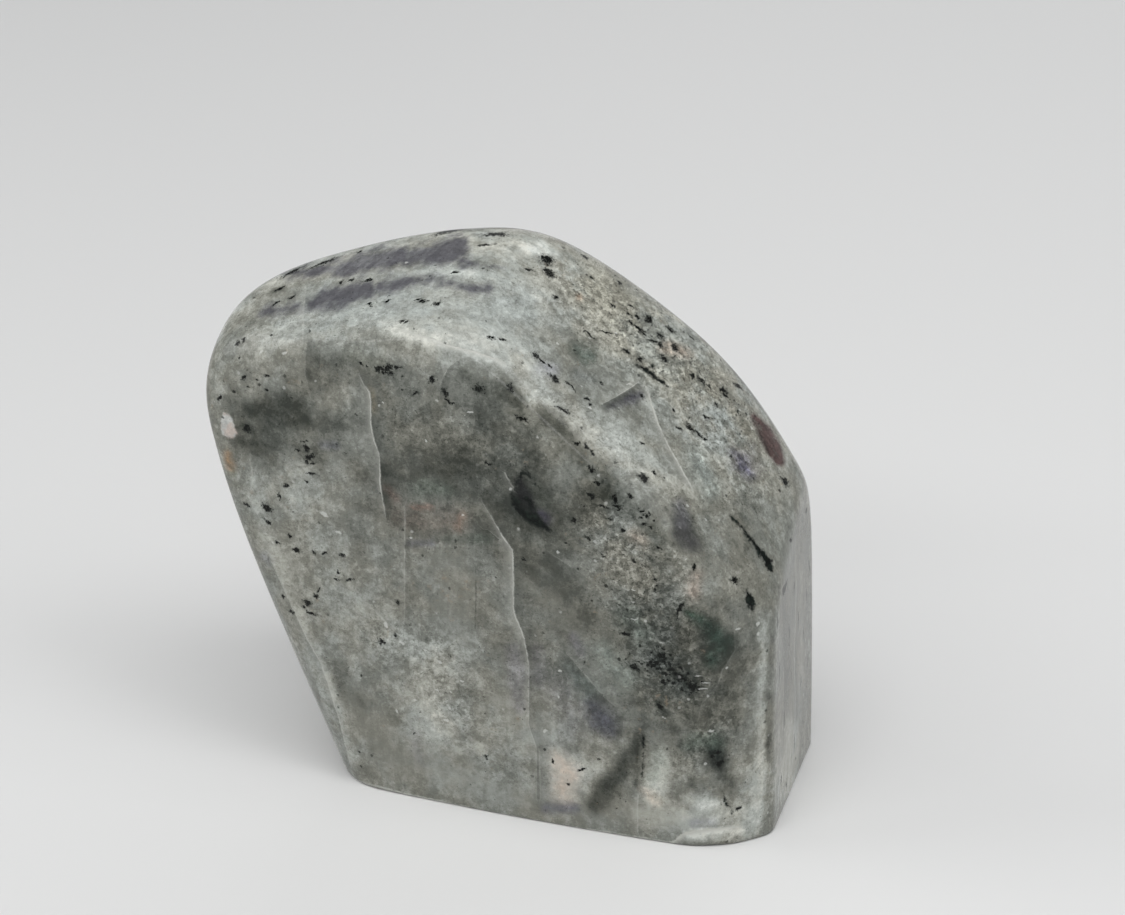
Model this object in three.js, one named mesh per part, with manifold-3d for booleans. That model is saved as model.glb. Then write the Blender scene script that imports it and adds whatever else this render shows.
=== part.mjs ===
// A labradorite freeform: one piece of rock, ground to broad facets, polished all over
// and sawn flat underneath so that it stands upright.
//
// Millimetres, +Z up. The front is -Y. The origin is the middle of the bounding box's bottom,
// so the sawn base lies at z = 0.

import * as THREE from 'three';
import { mergeVertices } from 'three/addons/utils/BufferGeometryUtils.js';
import Module from 'manifold-3d';

// Driving dimensions of the finished stone.
const LENGTH = 76; // left to right
const DEPTH = 39; // front to back
const HEIGHT = 73; // base to crown

// How finely the surface is divided: each edge of the starting icosahedron gets this many extra cuts.
const SURFACE_DIVISIONS = 18;

// The rough stone goes on below the saw cut by this share of the height, and is then sawn off.
const ROUGH_BELOW_CUT = 0.06;

// Where the stone is measured from while it is shaped: a place well inside it, this share of the way up.
const CORE_HEIGHT = 0.46;
const CORE = new THREE.Vector3(0, 0, CORE_HEIGHT * HEIGHT);

// The surface is found by halving this many times, which brings it within a thousandth of a millimetre.
const HALVINGS = 24;

// The ground facets. `at` is a place on the facet, as shares of length and depth from the middle and
// of height from the base. `heading` is the way it faces in plan (0 front, 90 right, 180 back, -90 left)
// and `rise` how far it looks up, in degrees. `bulge` is the radius of a gently crowned facet and
// `softness` how widely it blends into its neighbours, both as shares of the height; bulge 0 is flat.
const FACETS = [
  { name: 'front', at: [0.024, -0.5, 0.386], heading: 0, rise: 0, bulge: 5.5, softness: 0.04 },
  { name: 'back', at: [-0.028, 0.474, 0.33], heading: 176, rise: 4, bulge: 3.6, softness: 0.085 },
  { name: 'rightEnd', at: [0.483, -0.04, 0.1], heading: 94, rise: 1.3, bulge: 0, softness: 0.04 },
  { name: 'frontRightEdge', at: [0.445, -0.39, 0.165], heading: 48, rise: 0, bulge: 0, softness: 0.07 },
  { name: 'frontLeftEdge', at: [-0.367, -0.388, 0.275], heading: -50, rise: -18, bulge: 0, softness: 0.055 },
  { name: 'leftUnder', at: [-0.387, -0.233, 0.298], heading: -94, rise: -17.5, bulge: 3.6, softness: 0.055 },
  { name: 'backLeftEdge', at: [-0.338, 0.405, 0.35], heading: -140, rise: -10, bulge: 0, softness: 0.08 },
  { name: 'leftNose', at: [-0.602, -0.184, 0.661], heading: -78, rise: 0, bulge: 0, softness: 0.085 },
  { name: 'leftTop', at: [-0.494, -0.244, 0.829], heading: -57, rise: 36, bulge: 0, softness: 0.085 },
  { name: 'leftBrow', at: [-0.395, 0.128, 0.924], heading: -98, rise: 45, bulge: 0, softness: 0.085 },
  { name: 'frontTop', at: [-0.108, -0.446, 0.893], heading: -20, rise: 60, bulge: 4, softness: 0.04 },
  { name: 'crown', at: [-0.069, 0.02, 1.02], heading: -90, rise: 80, bulge: 0, softness: 0.07 },
  { name: 'backLeftTop', at: [-0.211, 0.118, 0.958], heading: -145, rise: 44, bulge: 0, softness: 0.11 },
  { name: 'backTop', at: [-0.055, 0.327, 0.909], heading: 175, rise: 45, bulge: 0, softness: 0.14 },
  { name: 'backShoulder', at: [0.266, 0.208, 0.845], heading: 140, rise: 42, bulge: 0, softness: 0.11 },
  { name: 'shoulder', at: [0.181, -0.155, 0.826], heading: 57, rise: 47, bulge: 4, softness: 0.07 },
  { name: 'rightBrow', at: [0.45, 0.015, 0.593], heading: 78, rise: 28, bulge: 0, softness: 0.11 },
  { name: 'rightBack', at: [0.395, 0.205, 0.74], heading: 123, rise: 26, bulge: 0, softness: 0.085 },
  { name: 'roughBottom', at: [0, 0, -ROUGH_BELOW_CUT], heading: 0, rise: -90, bulge: 0, softness: 0.01 },
];

// The look of the polished rock.
const STONE = new THREE.MeshStandardMaterial({ color: 0x8c938c, roughness: 0.22, metalness: 0 });

// The outward direction of a facet.
function facing({ heading, rise }) {
  const round = THREE.MathUtils.degToRad(heading);
  const up = THREE.MathUtils.degToRad(rise);
  return new THREE.Vector3(
    Math.sin(round) * Math.cos(up),
    -Math.cos(round) * Math.cos(up),
    Math.sin(up),
  );
}

// Facets at full size: a flat one is a plane, a crowned one the near side of a very large sphere.
const groundFacets = FACETS.map((facet) => {
  const normal = facing(facet);
  const [x, y, z] = facet.at;
  const place = new THREE.Vector3(x * LENGTH, y * DEPTH, z * HEIGHT);
  const softness = facet.softness * HEIGHT;
  if (facet.bulge === 0) {
    const plane = new THREE.Plane().setFromNormalAndCoplanarPoint(normal, place);
    return { softness, distance: (point) => plane.distanceToPoint(point) };
  }
  const radius = facet.bulge * HEIGHT;
  const ball = new THREE.Sphere(place.addScaledVector(normal, -radius), radius);
  return { softness, distance: (point) => ball.distanceToPoint(point) };
});

// The larger of two distances, rounded over where they are within `width` of each other.
function softMax(a, b, width) {
  const overlap = Math.max(width - Math.abs(a - b), 0) / width;
  return Math.max(a, b) + (overlap ** 3 * width) / 6;
}

// Below zero inside the stone, above zero outside it.
function depthOutside(point) {
  return groundFacets.reduce(
    (outside, facet) => softMax(outside, facet.distance(point), facet.softness),
    -HEIGHT,
  );
}

// The place where a straight line out of the core leaves the stone, found by halving.
function surfaceAlong(direction) {
  let inside = 0;
  let outside = LENGTH + HEIGHT;
  for (let halving = 0; halving < HALVINGS; halving += 1) {
    const middle = (inside + outside) / 2;
    const point = CORE.clone().addScaledVector(direction, middle);
    if (depthOutside(point) < 0) {
      inside = middle;
    } else {
      outside = middle;
    }
  }
  return CORE.clone().addScaledVector(direction, inside);
}

// The unsawn stone: an even ball of triangles, drawn out to the facets.
function roughStone() {
  const ball = new THREE.IcosahedronGeometry(1, SURFACE_DIVISIONS);
  ball.deleteAttribute('normal');
  ball.deleteAttribute('uv');
  const stone = mergeVertices(ball);
  const corners = stone.getAttribute('position');
  for (let i = 0; i < corners.count; i += 1) {
    const direction = new THREE.Vector3().fromBufferAttribute(corners, i);
    direction.multiply(new THREE.Vector3(LENGTH, DEPTH, HEIGHT)).normalize();
    const { x, y, z } = surfaceAlong(direction);
    corners.setXYZ(i, x, y, z);
  }
  return stone;
}

// A block under z = 0, larger than the stone in plan: what the saw takes away.
function sawnOffBlock() {
  const block = new THREE.BoxGeometry(2 * LENGTH, 2 * DEPTH, HEIGHT);
  block.deleteAttribute('normal');
  block.deleteAttribute('uv');
  block.translate(0, 0, -HEIGHT / 2);
  return mergeVertices(block);
}

const wasm = await Module();
wasm.setup();

function toSolid(geometry) {
  return new wasm.Manifold(new wasm.Mesh({
    numProp: 3,
    vertProperties: new Float32Array(geometry.getAttribute('position').array),
    triVerts: new Uint32Array(geometry.index.array),
  }));
}

function toGeometry(solid) {
  const mesh = solid.getMesh();
  const geometry = new THREE.BufferGeometry();
  geometry.setAttribute('position', new THREE.BufferAttribute(mesh.vertProperties, 3));
  geometry.setIndex(new THREE.BufferAttribute(mesh.triVerts, 1));
  return geometry;
}

// Brings the sawn stone to its driving dimensions, standing on z = 0 about the origin.
function fitToSize(geometry) {
  geometry.computeBoundingBox();
  const box = geometry.boundingBox;
  const size = box.getSize(new THREE.Vector3());
  const middle = box.getCenter(new THREE.Vector3());
  geometry.translate(-middle.x, -middle.y, -box.min.z);
  geometry.scale(LENGTH / size.x, DEPTH / size.y, HEIGHT / size.z);
  geometry.computeVertexNormals();
  return geometry;
}

const sawnStone = toSolid(roughStone()).subtract(toSolid(sawnOffBlock()));
const stone = new THREE.Mesh(fitToSize(toGeometry(sawnStone)), STONE);
stone.name = 'stone';

const freeform = new THREE.Group();
freeform.add(stone);

export default freeform;
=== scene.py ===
import math

import bpy
import numpy as np
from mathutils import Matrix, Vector, noise
from mathutils.bvhtree import BVHTree


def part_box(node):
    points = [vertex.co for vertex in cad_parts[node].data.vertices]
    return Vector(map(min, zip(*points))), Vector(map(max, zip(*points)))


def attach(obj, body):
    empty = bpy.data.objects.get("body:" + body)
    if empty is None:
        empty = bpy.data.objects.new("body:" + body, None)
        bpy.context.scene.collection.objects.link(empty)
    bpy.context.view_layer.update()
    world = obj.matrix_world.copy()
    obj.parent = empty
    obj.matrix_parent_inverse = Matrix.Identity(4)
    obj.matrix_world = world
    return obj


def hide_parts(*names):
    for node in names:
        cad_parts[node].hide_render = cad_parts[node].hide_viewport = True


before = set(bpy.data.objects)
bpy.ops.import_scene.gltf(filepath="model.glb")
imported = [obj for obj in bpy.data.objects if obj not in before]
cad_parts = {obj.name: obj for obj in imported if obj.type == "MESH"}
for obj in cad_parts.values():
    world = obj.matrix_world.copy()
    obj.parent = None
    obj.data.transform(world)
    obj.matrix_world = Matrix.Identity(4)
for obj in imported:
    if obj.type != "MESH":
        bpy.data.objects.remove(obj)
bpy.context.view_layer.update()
boxLow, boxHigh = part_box("stone")
stoneSize = np.array(boxHigh - boxLow)
stoneMiddle = np.array((boxLow + boxHigh) / 2)
stoneHeight = stoneSize[2]
mm = 0.001
print("frame loaded, stone is", [round(float(side / mm), 1) for side in stoneSize], "mm")


viewpoint = {
    "distance": 421.7 * mm,
    "aim": (0.35 * mm, 13.85 * mm, 36.4 * mm),
    "lens": 100.85,
    "sensor": 36,
    "pictureWide": 1125,
    "pictureHigh": 915,
    "nearest": 10 * mm,
}

# azimuth and elevation of each view that marks are laid out in
views = {
    "main": (20, 25),
    "left": (-70, 5),
    "right": (95, 10),
    "behind": (200, 12),
}
focalPixels = viewpoint["lens"] / viewpoint["sensor"] * viewpoint["pictureWide"]
pixel = viewpoint["distance"] / focalPixels     # what one pixel spans at the stone
pictureMiddle = np.array((viewpoint["pictureWide"] / 2, viewpoint["pictureHigh"] / 2))


def unit(vectors):
    return vectors / np.linalg.norm(vectors, axis=-1, keepdims=True)


# the direction of a heading round from the front (90 is right) and a rise above level
def facing(heading, rise):
    around, up = math.radians(heading), math.radians(rise)
    return np.array((
        math.sin(around) * math.cos(up),
        -math.cos(around) * math.cos(up),
        math.sin(up),
    ))


def viewAxes(view):
    back = facing(*views[view])
    around = math.radians(views[view][0])
    right = np.array((math.cos(around), math.sin(around), 0))
    return right, np.cross(back, right), back


def eyeOf(view):
    return np.array(viewpoint["aim"]) + viewAxes(view)[2] * viewpoint["distance"]


# where points of the stone show in a view, in pixels across and down
def seen(view, points):
    right, up, back = viewAxes(view)
    offset = points - eyeOf(view)
    scale = focalPixels / -(offset @ back)
    return pictureMiddle + np.stack((offset @ right * scale, -(offset @ up) * scale), -1)


def sightLine(view, across, down):
    right, up, back = viewAxes(view)
    x, y = np.array((across, down)) - pictureMiddle
    return unit(right * x - up * y - back * focalPixels)


def addObject(name, data):
    made = bpy.data.objects.new(name, data)
    bpy.context.scene.collection.objects.link(made)
    return made


def addCamera():
    camera = addObject("camera", bpy.data.cameras.new("camera"))
    camera.data.lens = viewpoint["lens"]
    camera.data.sensor_width = viewpoint["sensor"]
    camera.data.clip_start = viewpoint["nearest"]
    camera.location = eyeOf("main")
    camera.rotation_mode = "QUATERNION"
    camera.rotation_quaternion = Vector(-viewAxes("main")[2]).to_track_quat("-Z", "Y")
    bpy.context.scene.camera = camera


addCamera()
print("camera placed")


# at: a place on the facet, in shares of length and depth from the middle and of height from the base
# faces: heading round from the front (90 is right) and rise above level, degrees
# bulge: radius of a crowned facet, soft: how widely it blends in, both in shares of the height
facets = {
    "front": {"at": (0.024, -0.5, 0.386), "faces": (0, 0), "bulge": 5.5, "soft": 0.04},
    "back": {"at": (-0.028, 0.474, 0.33), "faces": (176, 4), "bulge": 3.6, "soft": 0.085},
    "frontRightEdge": {"at": (0.445, -0.39, 0.165), "faces": (48, 0), "bulge": 0, "soft": 0.07},
    "frontLeftEdge": {"at": (-0.367, -0.388, 0.275), "faces": (-50, -18), "bulge": 0, "soft": 0.055},
    "leftUnder": {"at": (-0.387, -0.233, 0.298), "faces": (-94, -17.5), "bulge": 3.6, "soft": 0.055},
    "backLeftEdge": {"at": (-0.338, 0.405, 0.35), "faces": (-140, -10), "bulge": 0, "soft": 0.08},
    "leftNose": {"at": (-0.602, -0.184, 0.661), "faces": (-78, 0), "bulge": 0, "soft": 0.085},
    "leftTop": {"at": (-0.494, -0.244, 0.829), "faces": (-57, 36), "bulge": 0, "soft": 0.085},
    "leftBrow": {"at": (-0.395, 0.128, 0.924), "faces": (-98, 45), "bulge": 0, "soft": 0.085},
    "frontTop": {"at": (-0.108, -0.446, 0.893), "faces": (-20, 60), "bulge": 4, "soft": 0.04},
    "crown": {"at": (-0.069, 0.02, 1.02), "faces": (-90, 80), "bulge": 0, "soft": 0.07},
    "backLeftTop": {"at": (-0.211, 0.118, 0.958), "faces": (-145, 44), "bulge": 0, "soft": 0.11},
    "backTop": {"at": (-0.055, 0.327, 0.909), "faces": (175, 45), "bulge": 0, "soft": 0.14},
    "backShoulder": {"at": (0.266, 0.208, 0.845), "faces": (140, 42), "bulge": 0, "soft": 0.11},
    "shoulder": {"at": (0.181, -0.155, 0.826), "faces": (57, 47), "bulge": 4, "soft": 0.07},
    "rightBrow": {"at": (0.45, 0.015, 0.593), "faces": (78, 28), "bulge": 0, "soft": 0.11},
    "rightBack": {"at": (0.395, 0.205, 0.74), "faces": (123, 26), "bulge": 0, "soft": 0.085},
    "rightEnd": {"at": (0.483, -0.04, 0.1), "faces": (94, 1.3), "bulge": 0, "soft": 0.022},
    "baseChip": {"at": (0.4178, -0.433, 0.018), "faces": (26, -30), "bulge": 0, "soft": 0.006},
}

stoneMesh = {
    "columns": 384,
    "wallRows": 200,
    "bevelRows": 5,
    "baseRows": 14,
    "baseBevel": 0.45 * mm,
    "coreHeight": 0.46,     # share of the height, where the rays to the surface start
    "halvings": 26,         # steps by which a ray closes in on the surface
}


def softMax(a, b, width):
    overlap = np.maximum(width - np.abs(a - b), 0) / width
    return np.maximum(a, b) + overlap ** 3 * width / 6


# below zero inside the stone, before it is sawn
def outsideBy(points):
    outside = np.full(points.shape[:-1], -stoneHeight)
    for facet in facets.values():
        normal = facing(*facet["faces"])
        place = np.array(facet["at"]) * stoneSize
        bulge = facet["bulge"] * stoneHeight
        if bulge:
            distance = np.linalg.norm(points - (place - normal * bulge), axis=-1) - bulge
        else:
            distance = (points - place) @ normal
        outside = softMax(outside, distance, facet["soft"] * stoneHeight)
    return outside


# how far along each direction the surface lies
def reach(start, directions, sunk=0.0):
    near = np.zeros(directions.shape[:-1])
    far = np.full(directions.shape[:-1], 2 * stoneHeight)
    for halving in range(stoneMesh["halvings"]):
        middle = (near + far) / 2
        inside = outsideBy(start + directions * middle[..., None]) < -sunk
        near = np.where(inside, middle, near)
        far = np.where(inside, far, middle)
    return start + directions * near[..., None]


# every ring of the stone from the crown down to the middle of the base
def stoneRings():
    columns = stoneMesh["columns"]
    bevel = stoneMesh["baseBevel"]
    around = np.arange(columns) * 2 * math.pi / columns
    flat = np.stack((np.cos(around), np.sin(around), 0 * around), -1)
    outward = unit(flat * stoneSize)
    core = np.array((0, 0, stoneMesh["coreHeight"] * stoneHeight))
    wallFoot = reach(np.array((0, 0, bevel)), outward)
    rings = []
    for row in range(1, stoneMesh["wallRows"] + 1):
        # turn from straight up to the wall's foot, evenly as seen on a ball
        foot = (wallFoot - core) / stoneSize
        footAngle = np.arccos(unit(foot)[:, 2])
        down = footAngle * row / stoneMesh["wallRows"]
        sideways = unit(foot * (1, 1, 0))
        direction = sideways * np.sin(down)[:, None] + np.array((0, 0, 1)) * np.cos(down)[:, None]
        rings.append(reach(core, unit(direction * stoneSize)))
    rings[-1] = wallFoot
    for row in range(1, stoneMesh["bevelRows"] + 1):
        turn = math.pi / 2 * row / stoneMesh["bevelRows"]
        inset = bevel * (1 - math.cos(turn))
        level = np.array((0, 0, bevel * (1 - math.sin(turn))))
        rings.append(reach(level, outward, inset))
    rim = rings[-1].copy()
    middle = np.array((rim[:, 0].mean(), rim[:, 1].mean(), 0))
    for row in range(1, stoneMesh["baseRows"]):
        rings.append(rim + (middle - rim) * row / stoneMesh["baseRows"])
    top = reach(core, np.array((0, 0, 1.0)))
    return top, np.array(rings), middle


def stoneFaces(rowCount):
    columns = stoneMesh["columns"]
    here = np.arange(columns)
    nextOne = (here + 1) % columns
    faces = [(0, 1 + a, 1 + b) for a, b in zip(here, nextOne)]
    for row in range(rowCount - 1):
        upper, lower = 1 + row * columns, 1 + (row + 1) * columns
        faces += [(upper + a, lower + a, lower + b, upper + b) for a, b in zip(here, nextOne)]
    last, end = 1 + (rowCount - 1) * columns, 1 + rowCount * columns
    faces += [(last + a, end, last + b) for a, b in zip(here, nextOne)]
    return faces


def fitToBox(points):
    low, high = points.min(0), points.max(0)
    middle = (low + high) / 2
    return (points - middle) * stoneSize / (high - low) + stoneMiddle


def buildStone():
    top, rings, middle = stoneRings()
    points = np.concatenate((top[None], rings.reshape(-1, 3), middle[None]))
    points = fitToBox(points)
    mesh = bpy.data.meshes.new("labradoriteStone")
    mesh.from_pydata(points.tolist(), [], stoneFaces(len(rings)))
    mesh.update()
    for polygon in mesh.polygons:
        polygon.use_smooth = True
    return addObject("labradoriteStone", mesh)


stone = buildStone()
print("stone shaped,", len(stone.data.vertices), "vertices")


# marks are strokes: points across and down in a view's pixels, each with its half width
# each is given as how much paler or darker, how soft either side of its outline, and its points
shades = {
    # painted light: topFacet makes the top facet paler where light falls from above, topLimb is a painted
    # sheen along the top outline
    "topFacet": (0.17, 30, [(265, 325, 10), (360, 300, 30), (470, 295, 40), (530, 290, 30)]),
    "topLimb": (0.32, 14, [
        (218, 330, 3), (246, 288, 7), (330, 255, 7), (420, 235, 7), (475, 240, 9), (545, 250, 7)]),
    "bandCloud": (0.05, 7, [(392, 276, 3), (401, 262, 5), (414, 244, 4)]),
    "bandGap": (0.15, 8, [(395, 275, 3), (437, 273, 5), (470, 272, 4)]),
    "topDark": (-0.10, 7, [(482, 241, 4), (512, 247, 5)]),
    "shoulderSpot": (0.08, 9, [(634, 314, 7)]),
    "sheenSpot": (0.08, 8, [(526, 336, 5), (548, 348, 6)]),
    "crownEnd": (0.17, 18, [(525, 248, 5), (560, 256, 8), (590, 270, 5)]),
    "sheenWide": (0.26, 16, [(400, 330, 8), (460, 338, 14), (510, 346, 18), (535, 372, 10)]),
    "sheen": (0.16, 6, [(380, 325, 1), (420, 338, 3), (470, 352, 3), (508, 366, 1)]),
    "sheenLeft": (0.16, 16, [(240, 350, 5), (300, 332, 8), (380, 322, 8)]),
    "palePatch": (0.08, 8, [(268, 345, 6), (292, 348, 6)]),
    "shoulder": (0.10, 35, [(560, 290, 25), (680, 390, 38), (745, 470, 30)]),
    # ridgePale and paleUpper are a painted highlight, the broad sheen along the ridge between front and
    # shoulder
    "ridgePale": (0.215, 14, [
        (531, 389, 5), (565, 414, 10), (612, 446, 18), (655, 474, 14), (690, 496, 8)]),
    "paleUpper": (0.09, 11, [(597, 402, 6), (630, 430, 10), (655, 455, 8)]),
    "belowWedge": (0.03, 14, [(615, 425, 10), (645, 445, 10)]),
    # limb and noseLimb are a painted sheen, paler along the outline where the stone turns away
    "limb": (0.10, 12, [(600, 275, 3), (680, 325, 4), (750, 395, 4), (790, 460, 5)]),
    "noseLimb": (0.10, 7, [(219, 345, 3), (214, 375, 4), (216, 400, 3)]),
    "noseSmudge": (-0.28, 4, [(273, 291, 3), (283, 287, 3)]),
    "nosePale": (0.08, 8, [(276, 366, 6), (304, 366, 5)]),
    "noseBlob": (-0.46, 12, [(250, 410, 6), (264, 407, 10), (282, 406, 10), (299, 403, 8)]),
    "noseBlobLow": (-0.38, 12, [(246, 430, 6), (262, 428, 10), (284, 424, 9), (300, 420, 7)]),
    "noseBlobTail": (-0.26, 14, [(306, 420, 9), (335, 424, 9), (364, 424, 5)]),
    "noseUnder": (-0.26, 13, [(258, 446, 5), (290, 447, 7), (322, 448, 9), (345, 452, 6)]),
    "noseFoot": (-0.12, 6, [(240, 442, 3), (262, 445, 3), (286, 441, 3)]),
    "noseRim": (-0.22, 14, [(232, 400, 4), (240, 440, 8), (262, 460, 8)]),
    "olivePatch": (-0.14, 7, [(312, 350, 6), (340, 358, 10), (356, 352, 6)]),
    "oliveLow": (-0.10, 9, [(311, 374, 3), (330, 372, 6)]),
    "besideCrack": (0.04, 9, [(345, 392, 8), (360, 400, 6), (362, 425, 5)]),
    "leftOfTooth": (-0.18, 14, [(395, 418, 8), (430, 416, 10), (455, 404, 8)]),
    "upperFront": (-0.12, 24, [(310, 365, 10), (360, 372, 16), (430, 385, 16)]),
    "upperMiddle": (-0.34, 25, [(388, 463, 14), (440, 469, 30), (512, 486, 32)]),
    "middleGap": (0.11, 9, [(378, 458, 4), (440, 460, 5)]),
    "besideEye": (-0.16, 16, [(480, 540, 8), (500, 556, 12), (520, 570, 8)]),
    "upperLeft": (-0.10, 14, [(378, 400, 8), (382, 440, 8)]),
    "darkPane": (-0.16, 5, [(464, 450, 7), (465, 464, 8)]),
    "belowCrack": (-0.17, 16, [(388, 470, 6), (395, 500, 8), (410, 520, 10), (470, 525, 10)]),
    "rightOfLeft": (-0.20, 8, [(382, 470, 4), (386, 492, 5), (392, 520, 4)]),
    "arch": (-0.24, 5, [(462, 375, 5), (480, 385, 8), (504, 391, 9), (518, 398, 9)]),
    "archFoot": (-0.28, 12, [(474, 410, 7), (490, 426, 14), (530, 440, 12), (535, 458, 10)]),
    "ridgeSide": (-0.22, 9, [(542, 412, 6), (560, 424, 8), (572, 436, 6)]),
    "aboveArch": (0.13, 6, [(424, 380, 5), (434, 378, 6)]),
    "archSpot": (0.13, 6, [(478, 382, 4), (494, 384, 5)]),
    "archGap": (0.14, 8, [(509, 436, 5), (513, 452, 6)]),
    "archTop": (-0.13, 6, [(473, 363, 4), (488, 366, 4)]),
    "archTooth": (-0.22, 3, [(476, 408, 2), (480, 424, 3)]),
    "eyeShade": (-0.28, 18, [(500, 500, 8), (545, 515, 20), (600, 500, 14)]),
    "underEye": (-0.22, 14, [(495, 530, 12), (532, 540, 12), (560, 545, 10)]),
    "rightPane": (-0.16, 7, [(520, 556, 5), (545, 572, 16), (572, 592, 12), (585, 610, 10)]),
    "underRidge": (-0.18, 12, [(540, 418, 5), (575, 448, 12), (610, 488, 14), (632, 506, 8)]),
    "ridgeFoot": (-0.16, 5, [(545, 425, 3), (556, 429, 3)]),
    "rightOfCrack": (-0.12, 26, [(545, 555, 12), (575, 605, 30), (595, 650, 26)]),
    "besideLong": (-0.06, 14, [(497, 610, 8), (503, 665, 12)]),
    "besideRight": (0.12, 3, [(508, 548, 1), (510, 575, 2), (510, 610, 2), (519, 640, 1)]),
    "smokeSpot": (-0.42, 8, [(684, 528, 10), (688, 540, 10)]),
    "smokeTop": (-0.24, 7, [(680, 498, 7), (683, 518, 10)]),
    "besideSmoke": (-0.14, 12, [(652, 535, 10), (658, 560, 12), (668, 585, 10)]),
    "smokeSmall": (-0.14, 3, [(667, 507, 3)]),
    "lowRight": (-0.24, 24, [(640, 610, 20), (690, 655, 32), (680, 730, 22)]),
    "lowRightEdge": (-0.16, 12, [(722, 690, 10), (725, 740, 12)]),
    "lowMiddle": (-0.18, 16, [(628, 655, 8), (642, 680, 12), (640, 722, 12)]),
    "middleRight": (-0.10, 14, [(590, 610, 8), (604, 630, 8)]),
    "aboveGreen": (-0.14, 10, [(705, 598, 6), (735, 612, 8)]),
    "blackHeart": (-0.24, 12, [(650, 668, 8), (672, 670, 12), (692, 682, 8)]),
    "greenHeart": (-0.26, 10, [(694, 614, 5), (713, 630, 12), (722, 644, 12), (712, 660, 10)]),
    "greenCore": (-0.14, 4, [(706, 646, 5), (720, 641, 5), (708, 652, 4)]),
    "greenTip": (-0.26, 4, [(730, 640, 3), (727, 658, 3), (722, 670, 1)]),
    "brownSide": (-0.10, 10, [(738, 650, 8), (735, 690, 12), (738, 725, 8)]),
    "violetLow": (-0.31, 7, [(599, 713, 8), (606, 722, 13), (612, 730, 10)]),
    "violetHigh": (-0.20, 7, [(570, 668, 4), (586, 688, 7), (605, 700, 6)]),
    "blobShade": (-0.44, 8, [(713, 746, 8), (715, 759, 12), (721, 775, 4), (732, 783, 4)]),
    "softSpots": (-0.46, 4, [(659, 704, 3), (662, 711, 3.5)]),
    "faintSpot": (-0.24, 5, [(668, 724, 4), (674, 730, 4)]),
    "violetSpot": (-0.22, 4, [(692, 780, 3), (693, 787, 3)]),
    "middleDark": (-0.12, 16, [(520, 600, 8), (525, 650, 14), (575, 685, 12)]),
    "midLight": (0.05, 12, [(598, 640, 6), (612, 668, 6)]),
    "frontLeft": (0.12, 30, [(295, 490, 20), (320, 560, 25), (370, 640, 25)]),
    "frontMiddle": (0.05, 30, [(440, 590, 30), (450, 740, 40)]),
    "frontLow": (0.09, 26, [(500, 730, 20), (560, 725, 24), (590, 742, 10)]),
    "noseTop": (0.18, 10, [(222, 318, 4), (238, 302, 7)]),
    "underBand": (-0.16, 12, [(318, 325, 7), (350, 322, 11), (364, 338, 6), (396, 341, 7)]),
    "sheenFoot": (0.18, 8, [(300, 354, 4), (360, 350, 4), (436, 358, 8), (448, 366, 5)]),
    "archMiddle": (-0.20, 8, [(482, 404, 6), (521, 406, 7)]),
    "leftOfEye": (0.32, 8, [(490, 482, 6), (498, 497, 6)]),
    "besideEyePale": (0.10, 8, [(574, 503, 8)]),
    "underEyeGap": (0.14, 8, [(541, 546, 6)]),
    "besideSpecks": (0.14, 9, [(590, 486, 7)]),
    "paleSpot": (0.14, 9, [(634, 500, 8)]),
    "underBlob": (-0.14, 8, [(318, 461, 8)]),
    "leftOfCrack": (-0.12, 14, [(358, 474, 10), (384, 490, 8), (352, 525, 12), (356, 560, 8)]),
    "besideSmokeLow": (-0.08, 12, [(640, 526, 6), (662, 534, 8), (700, 552, 8), (730, 560, 6)]),
    "cornerSpots": (-0.10, 7, [(747, 610, 5), (756, 658, 5)]),
    "browShades": (-0.10, 9, [(590, 360, 7)]),
    "rustyShade": (-0.10, 9, [(652, 366, 5), (668, 362, 5)]),
    "aboveFleck": (-0.14, 12, [(744, 446, 8), (750, 480, 10), (744, 520, 8), (748, 548, 6)]),
    "belowEye": (-0.12, 12, [(590, 525, 8), (594, 560, 8), (626, 540, 6)]),
    "brownEdge": (-0.14, 9, [(737, 635, 6), (734, 665, 7), (718, 692, 6), (708, 715, 6)]),
    # cornerLight is a painted highlight down the edge between front and right end
    "cornerLight": (0.21, 6, [(764, 622, 3), (763, 680, 3), (762, 740, 4), (764, 790, 4)]),
    "besideHeart": (0.17, 8, [(673, 712, 6), (678, 735, 7)]),
    "heartSide": (0.14, 9, [(707, 668, 6), (711, 688, 5)]),
    "granularRight": (0.16, 8, [(638, 592, 7)]),
    "paneSpot": (0.16, 8, [(578, 604, 6)]),
    "paneLower": (0.08, 8, [(515, 642, 6)]),
    "paneShade": (-0.08, 8, [(596, 582, 6)]),
    # leftEdge is a painted highlight, the pale strip along the polished left edge
    "leftEdge": (0.20, 9, [(250, 490, 6), (280, 570, 7), (320, 670, 6), (352, 755, 6)]),
    "streaks": (0.20, 3, [(250, 464, 1.5), (253, 480, 3)]),
    "granular": (0.14, 20, [(392, 640, 6), (430, 665, 26), (432, 725, 18)]),
    "besideGranular": (-0.08, 12, [(368, 646, 6), (480, 702, 11)]),
    "lowSpots": (0.08, 10, [(396, 736, 8), (498, 756, 8), (532, 756, 5)]),
    "granularCore": (0.10, 12, [(405, 690, 8), (435, 730, 10)]),
    "smoke": (-0.16, 10, [(340, 662, 4), (346, 690, 8), (364, 704, 6)]),
    "bottom": (0.08, 20, [(380, 765, 8), (480, 785, 12), (600, 812, 8)]),
    "smokyBand": (-0.44, 8, [(641, 741, 3), (631, 754, 7), (618, 773, 10), (605, 792, 11), (594, 804, 8)]),
    "smokySide": (-0.24, 2, [(639, 730, 2), (638, 760, 3), (637, 786, 2)]),
    "peach": (0.34, 12, [(554, 760, 10), (566, 774, 17), (562, 790, 11)]),
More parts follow.
